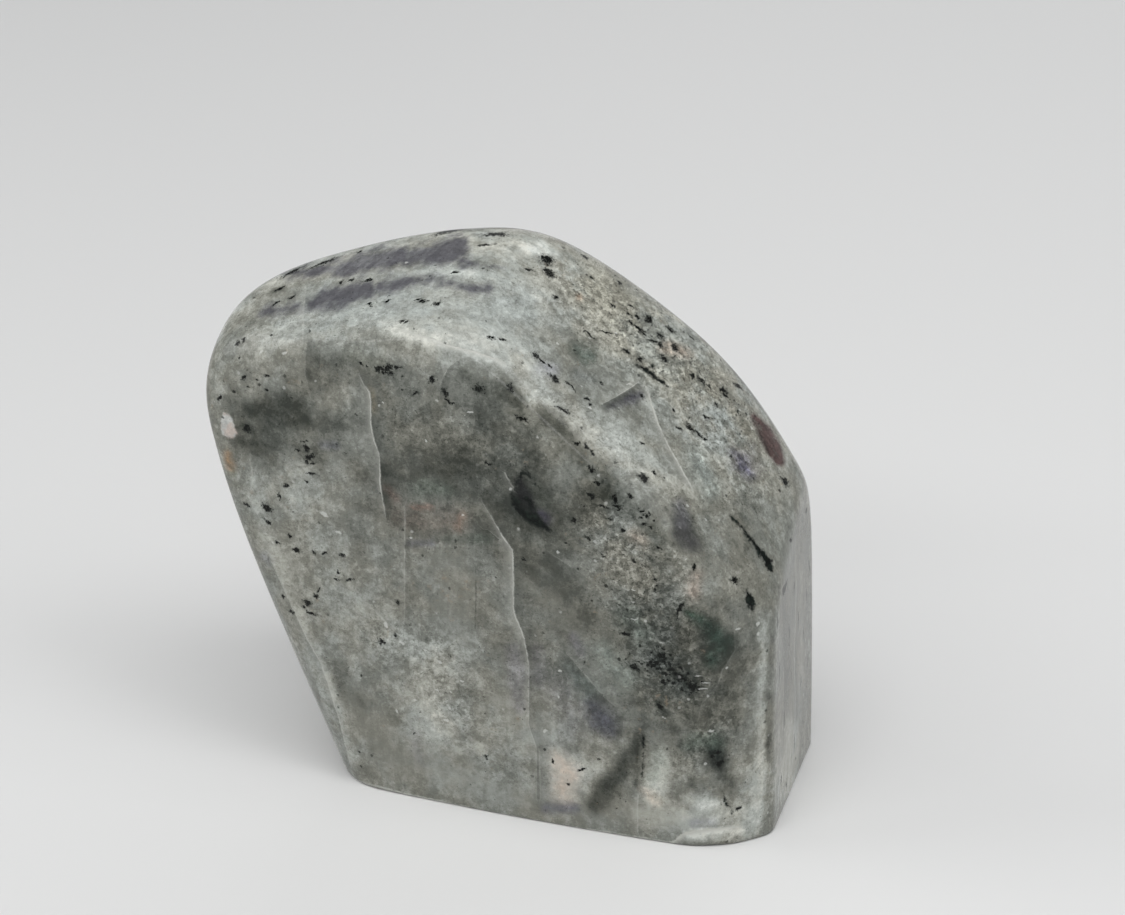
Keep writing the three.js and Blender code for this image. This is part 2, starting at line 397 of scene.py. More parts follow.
    "peachSide": (0.25, 9, [(582, 771, 6), (598, 770, 10), (590, 786, 6)]),
    "underPeach": (-0.14, 4, [(540, 808, 4), (575, 808, 5)]),
    "lowPale": (0.32, 8, [(665, 758, 8), (658, 780, 12)]),
    "creamSpot": (0.20, 6, [(645, 790, 5), (655, 800, 5)]),
    # footPale and glow are a painted glow, light through the stone at its foot; chip and chipShine are a
    # painted reflection and highlight on the small chipped facet at the base
    "footPale": (0.26, 12, [(664, 797, 4), (645, 818, 9), (700, 818, 11), (740, 815, 9)]),
    "glow": (0.34, 8, [(688, 797, 3), (703, 803, 7), (717, 801, 4)]),
    "chip": (0.20, 3, [(690, 839, 4), (740, 834, 6), (755, 832, 4)]),
    "chipShine": (0.55, 2, [(683, 837, 1.5), (694, 833, 2.5), (715, 832, 2.5), (742, 828, 1.5)]),
    "cornerPale": (0.22, 9, [(747, 770, 5), (755, 795, 8), (754, 820, 7)]),
    # rightEdgeLight and rightEdgeLow are the same painted highlight down that edge
    "rightEdgeLight": (0.14, 5, [(760, 640, 2), (761, 672, 2), (760, 700, 1)]),
    "rightEdgeLow": (0.20, 5, [(760, 752, 2), (762, 785, 3), (758, 820, 2)]),
    "rightEdgeDark": (-0.14, 3, [(769, 650, 1), (768, 740, 2), (766, 800, 1)]),
    "rightEdgeSpot": (-0.40, 3, [(769, 735, 1.5), (768, 745, 2)]),
    "rightEnd": (-0.08, 12, [(800, 520, 12), (797, 620, 14), (795, 680, 10)]),
    "rightEndLow": (0.18, 10, [(790, 730, 10), (785, 790, 12)]),
    "cornerTop": (-0.10, 7, [(752, 540, 6), (748, 560, 6)]),
    "smudgeA": (-0.22, 2.5, [(310, 375, 2.5)]),
    "smudgeB": (-0.2, 2.5, [(410, 395, 2), (418, 392, 2)]),
    "smudgeC": (-0.22, 3, [(645, 478, 4)]),
    "smudgeD": (-0.2, 4, [(521, 417, 5)]),
}

# colours laid over the stone's own: the colour, how strongly, how soft, and the points
stains = {
    "warmShoulder": ((0.33, 0.325, 0.265), 0.35, 30, [(590, 290, 20), (660, 350, 25), (690, 370, 20)]),
    "peach": ((0.50, 0.43, 0.36), 0.8, 12, [(556, 758, 9), (566, 774, 15), (562, 792, 10)]),
    "noseChipPink": ((0.60, 0.48, 0.43), 0.7, 4, [(231, 433, 4)]),
    "eyeSide": ((0.075, 0.084, 0.070), 0.6, 8, [(536, 486, 5), (543, 502, 6)]),
    "eyeTop": ((0.019, 0.020, 0.020), 1.1, 5, [(519, 480, 4), (521, 490, 7), (524, 500, 8), (530, 510, 6)]),
    "eyeLow": ((0.010, 0.013, 0.011), 1.1, 4, [(516, 502, 3), (523, 510, 5), (533, 518, 5), (542, 523, 3)]),
    "eyeViolet": ((0.042, 0.039, 0.054), 0.9, 4, [(541, 513, 3), (547, 518, 4), (546, 524, 3)]),
    "olive": ((0.135, 0.14, 0.105), 0.35, 14, [(352, 356, 6), (378, 362, 6)]),
    "crackRust": ((0.30, 0.25, 0.16), 0.45, 4, [(371, 390, 2), (374, 412, 2)]),
    "rust": ((0.33, 0.20, 0.10), 0.7, 4, [(227, 453, 3), (230, 466, 4)]),
    "rustGreen": ((0.13, 0.15, 0.10), 0.8, 3, [(233, 472, 2), (232, 478, 1)]),
    "pinkThread": ((0.34, 0.215, 0.17), 0.75, 2.5, [(412, 507, 1.5), (430, 507, 2)]),
    "pinkLeft": ((0.21, 0.155, 0.13), 0.6, 6, [(388, 490, 3), (398, 500, 3)]),
    "pinkSpot": ((0.34, 0.22, 0.16), 0.6, 4, [(463, 515, 2), (458, 528, 3)]),
    "brownPane": ((0.185, 0.155, 0.13), 0.5, 12, [(400, 515, 8), (460, 522, 10)]),
    "greenPane": ((0.12, 0.145, 0.12), 0.5, 8, [(420, 490, 8), (446, 492, 6)]),
    "greenLevel": ((0.125, 0.15, 0.125), 0.55, 5, [(445, 537, 3), (490, 538, 4)]),
    "peachFleck": ((0.31, 0.22, 0.165), 0.6, 8, [(666, 348, 5), (686, 353, 5)]),
    "orangeSpot": ((0.26, 0.16, 0.10), 0.7, 4, [(579, 298, 3)]),
    "coolTop": ((0.35, 0.385, 0.375), 0.4, 30, [(280, 320, 15), (400, 300, 30), (520, 310, 30)]),
    "lensSide": ((0.15, 0.145, 0.145), 0.35, 8, [(752, 446, 5), (758, 470, 6)]),
    "redLens": ((0.072, 0.044, 0.040), 1.1, 3, [
        (753, 416, 3), (764, 430, 7), (773, 447, 8), (780, 461, 5)]),
    "redRim": ((0.030, 0.028, 0.024), 0.8, 2.5, [
        (754, 420, 1.5), (760, 432, 2.5), (764, 442, 2), (770, 455, 1)]),
    "greenBrow": ((0.058, 0.080, 0.068), 0.75, 9, [(577, 349, 7), (590, 356, 8)]),
    "greyBrow": ((0.125, 0.135, 0.128), 0.65, 8, [(578, 376, 7), (592, 380, 5)]),
    "greenLow": ((0.034, 0.053, 0.042), 0.8, 8, [
        (692, 614, 4), (711, 628, 10), (725, 643, 10), (714, 660, 9)]),
    "greenThread": ((0.045, 0.070, 0.050), 0.8, 3, [(700, 616, 2.5), (686, 611, 2)]),
    "greenMiddle": ((0.10, 0.125, 0.105), 0.5, 14, [(625, 620, 10), (640, 640, 8)]),
    "lowBlob": ((0.014, 0.018, 0.016), 1.0, 5, [(710, 751, 4), (717, 756, 6.5), (717, 764, 5)]),
    "pinkMiddle": ((0.27, 0.215, 0.17), 0.45, 8, [(631, 533, 4), (640, 540, 4)]),
    "greenFoot": ((0.10, 0.135, 0.11), 0.55, 9, [(690, 745, 6), (718, 742, 6)]),
    "violetLow": ((0.095, 0.097, 0.115), 0.7, 9, [(594, 706, 9), (602, 720, 13), (610, 729, 9)]),
    "violetLeft": ((0.15, 0.155, 0.165), 0.4, 16, [(560, 690, 14), (575, 722, 14)]),
    "tealLow": ((0.165, 0.20, 0.185), 0.5, 12, [(570, 668, 5), (592, 690, 8)]),
    "tealMiddle": ((0.20, 0.245, 0.225), 0.5, 12, [(603, 650, 8), (625, 682, 10)]),
    "violetFoot": ((0.165, 0.165, 0.205), 0.65, 5, [(545, 808, 4), (573, 808, 5)]),
    "violetWedge": ((0.085, 0.085, 0.094), 0.9, 4, [
        (608, 407, 2), (620, 403, 4), (633, 397, 6.5), (641, 394, 4)]),
    "violetSpot": ((0.110, 0.108, 0.140), 0.85, 7, [(735, 454, 4), (742, 463, 8), (749, 474, 5)]),
    "violetPane": ((0.205, 0.20, 0.215), 0.5, 6, [(514, 650, 7), (518, 680, 9), (520, 706, 7)]),
    "violetBeside": ((0.165, 0.16, 0.17), 0.45, 7, [(538, 650, 6), (538, 682, 6)]),
    "violetThread": ((0.135, 0.13, 0.15), 0.5, 5, [(573, 636, 4), (581, 653, 4)]),
    "smokeSpot": ((0.044, 0.044, 0.044), 0.8, 9, [(684, 526, 10), (689, 539, 11)]),
    "smokeTop": ((0.13, 0.13, 0.14), 0.6, 6, [(680, 506, 7), (683, 518, 8)]),
    "pinkLow": ((0.28, 0.22, 0.18), 0.55, 8, [(698, 574, 5), (695, 592, 6)]),
    "cream": ((0.56, 0.48, 0.39), 0.6, 7, [(646, 790, 4), (656, 800, 4)]),
    "limeLow": ((0.27, 0.31, 0.275), 0.5, 8, [(662, 756, 8), (655, 778, 8)]),
    "blueFoot": ((0.24, 0.25, 0.30), 0.5, 6, [(695, 822, 4), (712, 822, 3)]),
    "tealShoulder": ((0.24, 0.28, 0.265), 0.5, 12, [(695, 455, 8), (712, 490, 10)]),
    "greyVioletLeft": ((0.12, 0.125, 0.145), 0.6, 5, [(322, 444, 3), (336, 446, 3)]),
    "blueLeft": ((0.17, 0.18, 0.20), 0.5, 6, [(264, 556, 4), (269, 562, 3)]),
    "violetSmear": ((0.19, 0.19, 0.215), 0.4, 8, [(417, 735, 3), (419, 762, 3)]),
    "bluishCrack": ((0.15, 0.152, 0.18), 0.6, 5, [(409, 543, 3), (430, 542, 3)]),
    "violetRidge": ((0.24, 0.24, 0.28), 0.5, 8, [(540, 368, 5), (552, 372, 5)]),
}

violetBands = {
    "upperLeft": [(286, 274, 2), (328, 269, 7), (360, 264, 11), (384, 258, 11), (400, 254, 8)],
    "upperRight": [(406, 262, 6), (422, 256, 9), (438, 252, 12), (456, 249, 12), (462, 254, 6)],
    "upperTail": [(462, 261, 6), (485, 266, 3), (505, 267, 1.5)],
    "lowerLeft": [(311, 303, 6), (325, 299, 9), (345, 295, 9), (368, 290, 8)],
    "lowerRight": [(382, 288, 6.5), (398, 284, 6), (418, 280, 4.5), (442, 279, 3.5)],
    "lowerTail": [(450, 283, 3.5), (470, 288, 5), (489, 289, 4)],
    "leftTail": [(258, 313, 2.5), (279, 310, 4), (301, 306, 4.5)],
}

inkyMarks = {
    "eyeTip": [(526, 467, 1.2), (522, 473, 2.6), (519, 479, 2.6), (516, 487, 1.6)],
    "eyeRim": [
        (512, 494, 1.8), (514, 501, 3.4), (517, 508, 3.6), (523, 514, 3.8), (531, 519, 4), (539, 523, 4),
        (547, 529, 2.6), (554, 533, 0.9)],
    "eyeHeart": [(521, 500, 1.6), (527, 498, 2.6), (531, 503, 3), (533, 511, 2.2), (537, 518, 2)],
    "eyeSpur": [(524, 473, 1), (530, 475, 1.1)],
    "eyeThread": [(530, 477, 1.1), (534, 483, 0.9), (539, 488, 1.6)],
    "longFleck": [(729, 515, 0.8), (742, 528, 1.8), (757, 547, 2.6), (767, 561, 4), (771, 570, 3)],
    "lens": [(747, 590, 1.5), (750, 600, 5), (753, 611, 2)],
    "shoulderStreak": [(636, 365, 1.5), (646, 369, 3), (656, 378, 2.2), (667, 386, 2.2)],
    "shoulderBranch": [(648, 368, 1.5), (655, 365, 1.5)],
    "shoulderFleck": [(622, 349, 1.5), (628, 352, 3)],
    "lowTail": [(722, 790, 0.8), (726, 803, 1.8), (733, 814, 0.8)],
    "lowCurve": [(642, 737, 3), (645, 748, 1.8), (644, 762, 1.6), (640, 784, 0.8)],
    "heartLeft": [(649, 664, 1), (654, 661, 2)],
    "heartTop": [(659, 655, 1), (665, 657, 2)],
    "heartRight": [(690, 688, 1), (696, 686, 1.5)],
}

# chips and bruises that show pale
paleChips = {
    "nose": [(226, 415, 4), (227, 422, 6.5), (228, 430, 7.5), (233, 434, 4)],
}

# a crack is given as how much darker the pane beside it is, and its points
# each point has how brightly it shines there, below zero where it is dark
cracks = {
    "longLeft": (0.6, [
        (358, 372, 0.1), (363, 383, 0.35), (369, 390, 0.75), (371, 402, 1.0), (371, 426, 0.9),
        (374, 441, 0.8), (380, 456, 0.65), (380, 480, 0.95), (382, 497, 0.6), (386, 516, 0.3)]),
    "longRight": (0.5, [
        (481, 500, 0.1), (492, 517, 0.4), (505, 540, 0.9), (513, 550, 1.3), (514, 612, 0.9),
        (524, 637, 1.0), (529, 664, 0.4), (529, 725, 0.25), (537, 749, 0.2), (537, 800, 0.1)]),
    "shoulder": (-0.2, [
        (640, 385, 0.3), (647, 387, 0.6), (651, 402, 1.0), (659, 426, 0.9), (669, 446, 0.7),
        (680, 466, 1.2), (694, 492, 0.2)]),
    "foot": (0.1, [(638, 796, 0.4), (638, 832, 0.4)]),
    "level": (0.45, [(408, 550, 0), (440, 541, 0), (496, 541, 0)]),
    "greenSide": (0.5, [
        (697, 720, 0.0), (702, 703, 0.1), (718, 684, 0.15), (722, 671, 0.2), (735, 650, 0.1),
        (734, 626, 0.05)]),
    "paneSide": (0.4, [(587, 577, 0.1), (562, 561, 0.15), (542, 548, 0.05)]),
    "lowSlant": (0.5, [(616, 708, 0.0), (602, 695, 0.1), (585, 675, 0.25), (566, 653, 0.1)]),
    "topEdge": (0.55, [(307, 341, 0.1), (305, 372, 0.1), (312, 398, 0)]),
}

# faint cracks, and painted highlight lines along the ridge and the polished rims, laid like cracks
faintCracksAndHighlights = {
    "wedge": (1.0, [(637, 384, 0.8), (616, 397, 0.4), (603, 404, 0.2)]),
    "upright": (0.3, [(405, 505, 0.2), (405, 560, 0.35), (405, 622, 0.15)]),
    "seam": (0.2, [(475, 548, -0.1), (476, 590, -0.6), (475, 632, -0.5)]),
    "slant": (0.0, [(356, 590, 0.1), (382, 618, 0.35), (406, 642, 0.1)]),
    "darkPane": (0.6, [(475, 482, -0.2), (475, 448, -0.2)]),
    "thread": (0.0, [(538, 747, -0.4), (565, 741, -0.3)]),
    "archEdge": (0.5, [(458, 360, 0.3), (448, 368, 0.4), (441, 382, 0.2), (440, 396, 0)]),
    "toEye": (0.0, [(505, 474, 0.4), (514, 489, 0.3)]),
    "violetSide": (0.6, [(622, 739, 0), (623, 718, 0)]),
    "peachSide": (0.3, [(540, 800, 0.2), (539, 748, 0.3)]),
    # ridge is a painted highlight line along the crest between front and top
    "ridge": (0.0, [(400, 329, 0.5), (430, 338, 1.4), (448, 345, 1.7), (475, 352, 1.2), (506, 363, 0.6)]),
    "bandEdge": (0.1, [(306, 284, 0.1), (304, 310, 0.45), (303, 340, 0.15)]),
    # baseRim, chipRim and leftRim are painted highlight lines along the polished edges; leftRim has a
    # darker pane beside it
    "baseRim": (0.0, [
        (352, 779, 0.3), (400, 792, 0.9), (430, 799, 1.6), (480, 810, 1.3), (560, 825, 1.5),
        (640, 837, 1.0), (668, 842, 1.2)]),
    "chipRim": (0.0, [(672, 843, 1.2), (679, 836, 2.8), (685, 832, 2.8), (700, 830, 2.2), (740, 826, 1.2)]),
    "leftRim": (0.5, [
        (350, 765, 0.5), (340, 724, 0.5), (329, 688, 0.6), (320, 662, 0.5), (307, 640, 0.4),
        (271, 562, 0.1)]),
    # cornerRim is a painted highlight line down the corner of the right end
    "cornerRim": (0.0, [(760, 678, 0.0), (761, 720, 0.35), (759, 770, 0.05), (758, 819, 0.4)]),
    "leftStreak": (0.0, [(250, 460, 0.4), (253, 476, 0.3)]),
}

# dark specks: across, down, half length, half width, lean from level in degrees (down to the right)
specks = [
    (380, 369.5, 4, 2.6, 10), (387, 368.5, 4.6, 3, -30), (389.5, 373, 3.6, 2, 0), (397, 367, 4, 1.2, -8),
    (376, 367.5, 2, 1.2, 0), (384, 373.5, 2.4, 1, 20), (617, 507, 3, 1.1, 5), (603, 506.5, 3.6, 1.2, 10),
    (567.5, 543, 1.6, 1.2, 30), (488.5, 463.3, 2.6, 1, 5), (640, 359, 2.8, 1.5, 50),
    (664, 358.5, 3.4, 1.8, 30), (619.8, 282.5, 1.5, 1.2, 0), (628.7, 313.7, 1.6, 1, 0),
    (613, 305.5, 3, 0.7, 60), (642, 395.4, 2, 1.4, 0), (637, 317, 1.6, 1.3, 0),
    (659.5, 345, 2.2, 1.2, 20), (632, 324, 3, 1.2, 45), (716, 404, 1.6, 1.1, 20),
    (361, 363, 1.6, 0.9, 20), (367, 366, 1.6, 0.8, 40), (431, 379, 3.2, 2.4, -35),
    (479, 389, 3.8, 2.7, -5), (510, 389, 3.4, 2.2, 60), (446, 393, 3.4, 1.8, 70), (449, 401, 3, 1, 50),
    (453, 404, 2.4, 0.9, 10), (415, 393, 3, 1.1, -30), (521, 418, 4, 2, 20), (418, 299.5, 2.4, 0.8, 15),
    (422, 301, 2.4, 1.2, 25), (436.5, 303.5, 2.4, 1.5, 10), (370, 304, 1.6, 0.9, 0),
    (387, 301.5, 2.8, 0.7, 0), (402, 321, 2, 1.2, 5), (406.5, 322, 1.6, 1, 20), (368, 280, 2.4, 0.9, 5),
    (351, 280, 1.6, 0.8, 0), (341, 282, 1.4, 0.8, 0), (359, 252, 1.8, 0.8, -15), (292, 297.5, 2.6, 1, -5),
    (276, 303, 3, 0.8, -25), (243.6, 339.4, 1.9, 1.2, -40), (238, 343, 2, 1.3, -60),
    (240, 358, 1.2, 1, 0), (243.6, 378, 2, 1.1, -30), (247, 386.4, 1.4, 0.9, 0),
    (266.6, 375, 2.2, 0.8, 0), (234.4, 392, 1.6, 1, 0), (266.6, 390, 1.4, 1, 0),
    (257.4, 379.5, 1.3, 0.9, 0), (231, 370, 1, 0.8, 0), (219.5, 398, 2.2, 1.3, -50),
    (496, 234, 9, 1.5, 6), (484, 245, 5, 0.8, 4), (546.6, 260, 4.4, 3.6, 50), (549, 273, 4.6, 2.6, 25),
    (455, 272, 3, 0.8, 5), (528, 269.4, 2.6, 0.9, 0), (491.5, 338, 2.6, 1, 8), (503, 340, 3.4, 0.7, 4),
    (536, 356.5, 4, 2, 35), (542, 361, 5, 0.9, 40), (549, 366, 3, 0.8, 40), (555.8, 379, 3, 2.3, 20),
    (551, 375.5, 2.2, 1, 30), (571.6, 387, 4, 0.8, 50), (279, 289, 3, 1, -10), (324, 262.5, 9, 1, -12),
    (292, 272, 6, 1.1, -14), (452, 230.5, 8, 0.9, -4), (584.7, 257, 1.4, 1.1, 0),
    (591, 277.4, 1.5, 1.1, 60), (556, 297.5, 2.2, 1.1, 20), (630, 306, 2, 0.9, 20),
    (649, 319.5, 3.4, 2.4, 30), (640, 330, 7, 1.2, 40), (654, 341.5, 4, 1, 5), (661, 336, 2.6, 2, 30),
    (670, 329, 4, 1.4, 25), (691, 337, 1.2, 1.1, 0), (675, 348, 3, 2.4, 60), (692, 375, 3, 1.6, 30),
    (701.5, 381, 5, 1.6, 42), (709.5, 386, 2, 1.1, 30), (723.3, 390.5, 3, 1.6, 10),
    (725, 395, 2.4, 1.2, 10), (738, 386, 2.4, 1.1, 5), (706.7, 417.4, 2.8, 1.1, 30),
    (674, 410.4, 1.3, 1.1, 0), (690, 427.5, 5, 1.6, 40), (699, 434, 4, 1, 35), (704.5, 439, 1.8, 1, 30),
    (679, 428, 3, 0.8, 30), (738, 411.5, 1.4, 1, 80), (563, 410, 6, 1.5, 30), (587, 399, 1.8, 1.4, 0),
    (591, 404, 1.6, 1.1, 40), (602, 383.5, 1.2, 0.9, 0), (589, 334, 5, 0.9, 35), (607, 332.5, 5, 0.6, -5),
    (785, 482, 2.4, 3, 0), (654, 472, 2.6, 1.5, 30), (643.5, 478, 4, 2.6, 30), (592, 470.5, 3, 1.7, 30),
    (597, 483, 3.6, 1.1, -5), (592, 496, 3.2, 2.3, 30), (629.5, 496.5, 2.4, 1.9, 30),
    (613.7, 497.5, 2, 2.6, 0), (577, 443, 2.6, 1.1, 10), (586.5, 447.5, 2.6, 1.3, 45),
    (592, 452, 1.8, 1.2, 45), (643, 512, 2.4, 1.4, 10), (649, 513, 1.8, 0.9, 60), (641, 517, 1.6, 1, 0),
    (644, 524, 2.6, 1.1, 0), (650, 527, 1.4, 1, 40), (640, 509, 1.4, 0.8, 20), (655, 521, 1.2, 0.8, 0),
    (656, 663, 2.2, 1.4, 10), (659, 668, 2.6, 1.2, -20), (664, 661, 1.8, 1.4, 50), (669, 664, 2, 1, 80),
    (671, 670, 2.6, 1.2, 0), (676, 674, 2.4, 1.6, 30), (680, 668, 1.6, 1, 0), (685, 680, 2.8, 1.6, 15),
    (688, 674, 1.8, 1, 60), (699, 689, 2.4, 1.2, 0), (702, 682, 1.6, 0.9, 20), (647, 671, 2.2, 1.2, 30),
    (641, 663, 1.8, 1, 0), (668, 680, 1.6, 1, 70), (674, 683, 2, 1, 0), (683, 690, 2.2, 1, 20),
    (659, 648, 1.6, 1, 40), (652, 653, 1.8, 0.8, 0), (670, 655, 1.4, 1, 0), (664, 650, 1.2, 0.8, 0),
    (643.5, 445, 2.4, 0.9, 40), (573, 520, 2.2, 1.9, 60), (646, 516, 2.6, 1.7, 30),
    (615, 500, 3, 1.6, 60), (623, 530, 2.2, 1.5, 20), (694, 567, 2, 2, 90), (656, 580, 1, 1.3, 90),
    (656, 586, 1.2, 1.6, 90), (656, 591, 0.9, 1, 90), (768, 562, 3, 3, 60), (734.6, 580, 2.4, 3, 90),
    (679, 610, 6, 1.2, -65), (625.5, 634, 3.4, 1.4, 5), (662.5, 656, 4.2, 2.6, 20),
    (652, 663.5, 4.4, 3, -20), (665, 673.7, 3, 1.6, 5), (664, 681, 2, 2.4, 0), (681, 677, 3.6, 2, 30),
    (693, 687.5, 4.6, 3, 10), (635, 667, 4, 2, 20), (660, 706, 1.6, 2.6, -20), (717, 753, 2.6, 2, 40),
    (720, 763, 2, 2.6, 0), (739, 808, 2, 1.4, 0), (712, 757, 2, 1.4, 0), (247.2, 428.2, 2.9, 2.8, 0),
    (307, 448.4, 2.9, 2.2, 20), (297.7, 449.8, 1.9, 1.5, 0), (304.5, 441.5, 2.4, 0.7, -15),
    (310.7, 457, 4.4, 2, -30), (307, 462, 2, 1.2, 60), (313, 463, 2, 1.1, -20),
    (311.6, 474.3, 3.6, 1.1, 0), (306, 481.4, 1.7, 0.9, 10), (285.7, 486, 1.7, 1.5, 0),
    (279.5, 496.6, 1.2, 2.6, 0), (268, 508.6, 3.6, 2.3, 20), (246.8, 505, 1.7, 1.1, 0),
    (290.2, 536, 1.6, 1.1, 0), (276.8, 542, 1.5, 1, 0), (297.3, 550.2, 3.4, 1.3, 5),
    (314.3, 552.5, 1.4, 1.3, 0), (324.5, 553.8, 1.7, 1.2, -30), (341.6, 555.2, 2, 1, 0),
    (337.5, 571.3, 1.3, 1, 0), (336.6, 579.6, 1.6, 0.8, 0), (350, 580, 2.6, 0.9, -20),
    (318, 590.4, 2.6, 1, -50), (316, 596, 2, 1.3, 70), (307, 603, 3, 1.6, 0), (305, 608, 3, 0.9, 40),
    (311.6, 613.6, 3, 1.2, 0), (293, 612.7, 2, 1.1, 0), (283, 596.6, 1.2, 0.9, 0),
    (397.7, 601.6, 1.7, 1.4, 0), (267.5, 521.6, 3, 1, 20), (581.6, 769.5, 3, 1, -25),
    (567.3, 783, 1.6, 0.9, -20), (553, 761.4, 0.9, 2, 0), (784.7, 588, 1.2, 3, 0),
    (525, 559, 1.5, 1.2, 0), (395, 635.5, 1.6, 1.5, 0), (382, 642, 3, 2, 0), (486.5, 756, 1.4, 1.7, 60),
    (611, 519, 1.8, 1, 0), (604, 556, 2.4, 1, 30), (588, 538, 2, 1.2, 20), (633, 560, 2.4, 1.4, 30),
    (660, 548, 2, 1.2, 40),
]

# pale sparks and scratches, laid out the same way
sparks = [
    (338.4, 532.3, 2.8, 1.6, 0), (324, 514, 5, 2, 20), (397, 711.4, 1.4, 2.6, 0),
    (449.5, 708, 1.5, 1.5, 0), (451, 692, 1.4, 1.2, 0), (560, 671, 2, 1.2, 0), (558.4, 697, 1.4, 1.4, 0),
    (545, 731, 2.4, 1.6, -40), (470, 412, 3.6, 0.9, -10), (466, 415, 2.4, 0.8, -35), (426, 441, 1, 2, 0),
    (698, 676, 3.6, 0.7, 0), (706, 683, 5, 0.7, 0), (703, 689, 5.5, 0.8, 0), (712, 690, 4, 0.7, 0),
    (662, 643, 3, 0.7, -5), (634, 619, 3, 0.7, 0), (633, 602, 2.2, 0.7, 0), (633, 590, 2.4, 0.7, 5),
    (558, 552, 1.4, 1.6, 0), (629, 384, 3, 0.9, -20), (411, 538, 1.6, 1, 0), (463, 515, 1.8, 0.9, 0),
    (738, 629, 3, 1.4, 0), (758, 634, 1.6, 1.6, 0), (758, 624, 1.8, 2.2, 0), (727, 668, 1.6, 1.2, 0),
    (686, 559, 1.2, 0.8, 0), (590, 408, 2.4, 1, 0), (740, 410, 1.3, 1, 0), (557.5, 343.5, 1.6, 1, 0),
    (383, 402.5, 1.2, 1, 0), (285, 353, 3, 1.2, -20), (261, 352, 2.4, 1.4, -40), (386, 625, 2, 3, 10),
    (402, 643, 3, 1.2, 20), (440, 662, 3, 1.2, 30), (425, 650, 2, 1, 10), (446, 720, 3, 1, 0),
    (462, 681, 2, 1, 0), (415, 700, 2.2, 1, 20), (437, 690, 1.6, 1, 0), (711, 731, 3, 1.4, 10),
    (664, 718, 3, 0.8, 15),
]

# how gritty, how peppered with dark specks and how calm the stone is: amount, softness, points
textureAreas = {
    "grit": {
        "shoulder": (0.8, 30, [(570, 290, 25), (690, 390, 40), (745, 480, 30)]),
        "lowFront": (0.7, 26, [(375, 632, 10), (430, 660, 30), (455, 710, 18)]),
        "frontRight": (1.2, 30, [(600, 520, 25), (650, 590, 40), (675, 680, 35)]),
        "frontMiddle": (0.5, 30, [(400, 420, 30), (520, 460, 40)]),
        "ridge": (0.5, 20, [(540, 390, 10), (620, 450, 18), (700, 520, 14)]),
        "left": (0.25, 26, [(300, 520, 20), (330, 600, 20)]),
        "lowRight": (0.9, 20, [(700, 640, 14), (720, 720, 16), (690, 760, 14)]),
    },
    "pepper": {
        "shoulder": (0.9, 35, [(570, 280, 25), (670, 340, 45), (745, 440, 30)]),
        "frontRight": (0.6, 30, [(600, 490, 25), (650, 590, 30), (670, 680, 30)]),
        "heart": (2.4, 14, [(655, 658, 5), (672, 670, 10), (692, 684, 7)]),
        "rusty": (1.2, 10, [(640, 330, 8), (665, 345, 10)]),
        "nose": (0.3, 15, [(240, 370, 12), (260, 385, 12)]),
    },
    "calm": {
        "rightEnd": (1, 8, [(797, 545, 14), (793, 640, 16), (789, 760, 14)]),
        "middlePane": (0.8, 14, [(450, 570, 25), (455, 620, 20)]),
        "rightPane": (0.7, 12, [(540, 580, 16), (570, 620, 20)]),
        "lowLeft": (1.2, 20, [(355, 700, 12), (390, 755, 20), (470, 780, 16)]),
        "foot": (1.1, 14, [(470, 790, 12), (600, 812, 12), (700, 822, 12)]),
        "peach": (1.2, 12, [(558, 760, 12), (566, 780, 16)]),
        "lowMiddle": (0.9, 20, [(500, 700, 14), (540, 740, 18)]),
        "topFacet": (0.5, 20, [(270, 300, 12), (400, 300, 25), (500, 330, 25)]),
    },
}

